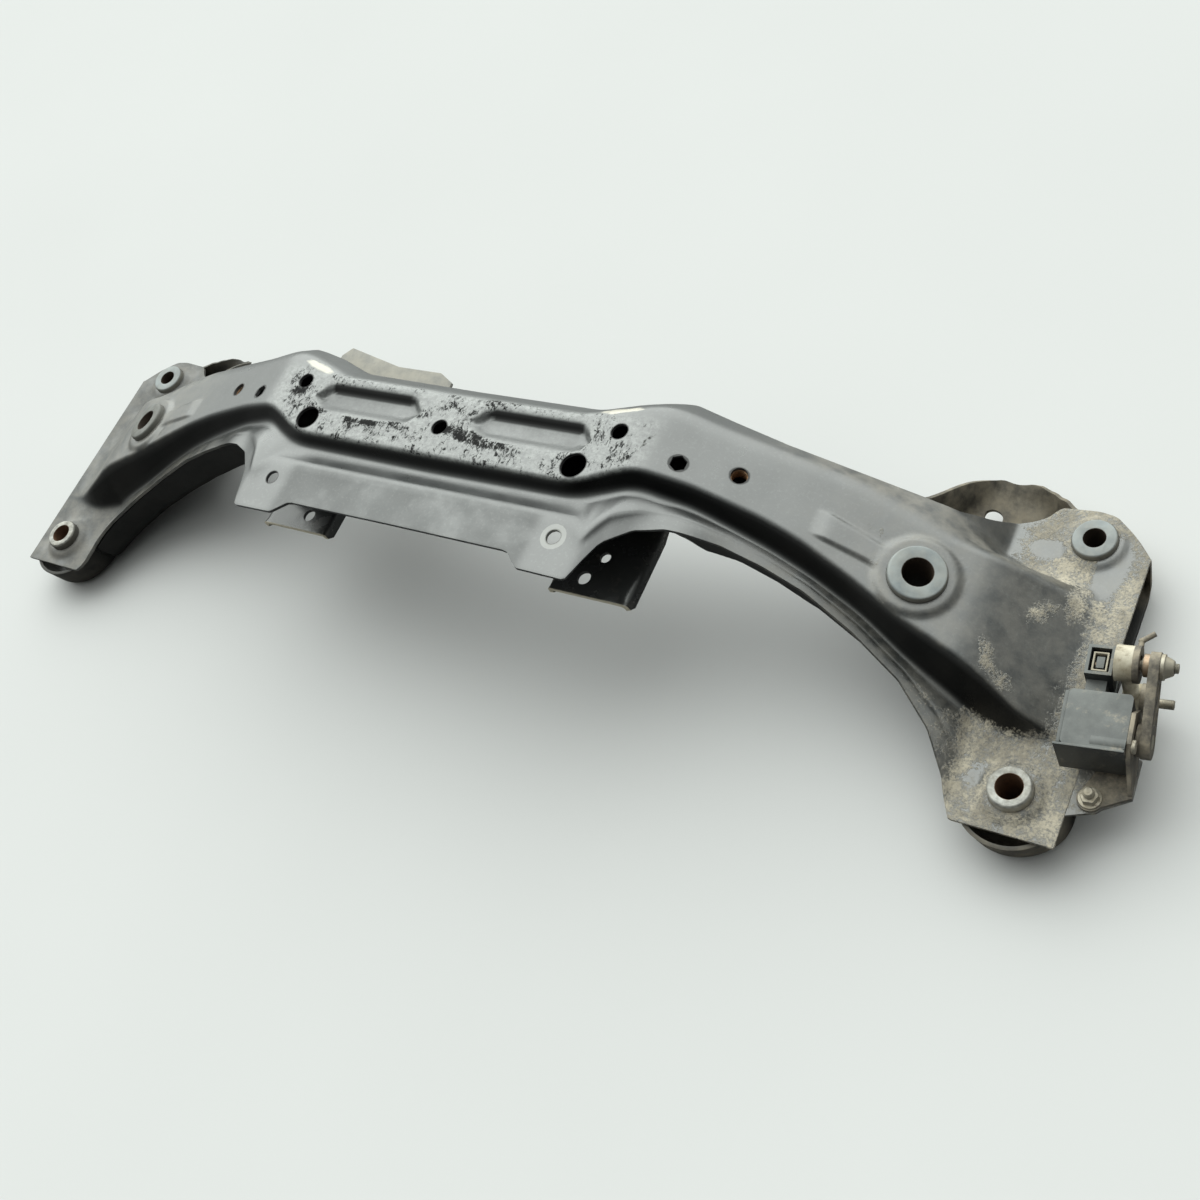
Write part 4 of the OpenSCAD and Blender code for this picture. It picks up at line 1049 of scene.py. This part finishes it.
for slot, names in SMALL.items():
    for name, width in names.items():
        small = softened(name, width)
        mask_small(small, name)
        dress(small, slot, name, BODY.get(name, "frame"))

for s in (-1, 1):
    bracket = build_bracket(s)
    y = points_of(bracket)[1]
    # Mask of the painted highlight along the front edge
    store(bracket, edge=1 - smooth(0.2, 1.2, y - BRACKET_FRONT))
    dress(bracket, "bracket_paint", "front_bracket_right" if s > 0 else "front_bracket_left")

socket = sensor_detail("connector_frames", CONNECTOR_FRAMES)
height = points_of(socket)[2] - PLATE_Z
store(socket, edge=smooth(FRAME_TOP - 1.0, FRAME_TOP - 0.2, height))
dress(socket, "sensor_plastic")
lid = sensor_detail("housing_front", HOUSING_FRONT, 0.5)
dress(lid, "sensor_plastic")


# Floor, light and camera

FLOOR_HALF = 60.0
FLOOR_DARK, FLOOR_PALE, FLOOR_IN_GLOSS = (0.62, 0.62, 0.62), (0.65, 0.65, 0.65), (0.10, 0.10, 0.10)
LIGHT_FROM, LIGHT_TINT, SKY_SHOWN = (-0.42, 0.62, 0.66), (0.95, 1.0, 0.96, 1), 0.8
# Cosine of the angle to the light where a ramp starts and ends, and the strengths there
SKY_RAMP, PANEL_RAMP = (-0.45, 0.62, 0.02, 0.57), (0.45, 0.95, 0.0, 2.65)
CAMERA_AT, CAMERA_LENS, CAMERA_SENSOR = (0.6878, -0.3139, 0.8573), 44.34, 36
CAMERA_RIGHT, CAMERA_UP = (0.8325, 0.4107, -0.3719), (-0.1955, 0.8457, 0.4965)
CAMERA_BACK = (0.5185, -0.3407, 0.7843)


def stage_floor():
    """Pale floor; in reflections its part in front of the object is darker than the camera sees it."""
    bm = bmesh.new()
    bmesh.ops.create_grid(bm, x_segments=1, y_segments=1, size=FLOOR_HALF)
    mesh = bpy.data.meshes.new("floor")
    bm.to_mesh(mesh)
    bm.free()
    obj = piece("floor", mesh)
    obj.location.z = SLEEVE_Z * MM
    g = Graph("floor")
    pale = g.mix(g.noise(3, 2), FLOOR_DARK, FLOOR_PALE)
    mirrored = g.tree.nodes.new("ShaderNodeLightPath").outputs["Is Glossy Ray"]
    in_gloss = g.mix(g.step(g.axes()[1], 0.1, 0.7), FLOOR_IN_GLOSS, pale)
    obj.data.materials.append(g.finish(g.mix(mirrored, pale, in_gloss), 0.8, 0.0, None, 0.2))


def light():
    """Sky that is bright behind the left end, as from a wide soft panel, and dim towards the front."""
    world = bpy.data.worlds.new("studio")
    scene.world = world
    world.use_nodes = True
    tree = world.node_tree
    back = tree.nodes["Background"]
    way = tree.nodes.new("ShaderNodeTexCoord")
    dot = tree.nodes.new("ShaderNodeVectorMath")
    dot.operation = "DOT_PRODUCT"
    dot.inputs[1].default_value = Vector(LIGHT_FROM).normalized()
    tree.links.new(way.outputs["Generated"], dot.inputs[0])

    def ramp(low, high, least, most):
        n = tree.nodes.new("ShaderNodeMapRange")
        n.interpolation_type = "SMOOTHSTEP"
        for name, value in (("From Min", low), ("From Max", high), ("To Min", least), ("To Max", most)):
            n.inputs[name].default_value = value
        tree.links.new(dot.outputs["Value"], n.inputs["Value"])
        return n.outputs[0]

    total = tree.nodes.new("ShaderNodeMath")
    total.operation = "ADD"
    tree.links.new(ramp(*SKY_RAMP), total.inputs[0])
    tree.links.new(ramp(*PANEL_RAMP), total.inputs[1])
    seen = tree.nodes.new("ShaderNodeLightPath")
    shown = tree.nodes.new("ShaderNodeMix")
    tree.links.new(seen.outputs["Is Camera Ray"], shown.inputs[0])
    tree.links.new(total.outputs[0], shown.inputs[2])
    shown.inputs[3].default_value = SKY_SHOWN
    tree.links.new(shown.outputs[0], back.inputs["Strength"])
    back.inputs["Color"].default_value = LIGHT_TINT


def camera():
    data = bpy.data.cameras.new("camera")
    data.lens = CAMERA_LENS
    data.sensor_width = CAMERA_SENSOR
    data.clip_start = 0.05
    obj = bpy.data.objects.new("camera", data)
    scene.collection.objects.link(obj)
    turn = Matrix([Vector(way).normalized() for way in (CAMERA_RIGHT, CAMERA_UP, CAMERA_BACK)]).transposed()
    obj.matrix_world = Matrix.Translation(CAMERA_AT) @ turn.to_4x4()
    scene.camera = obj


stage_floor()
light()
camera()
scene.view_settings.view_transform = "Standard"
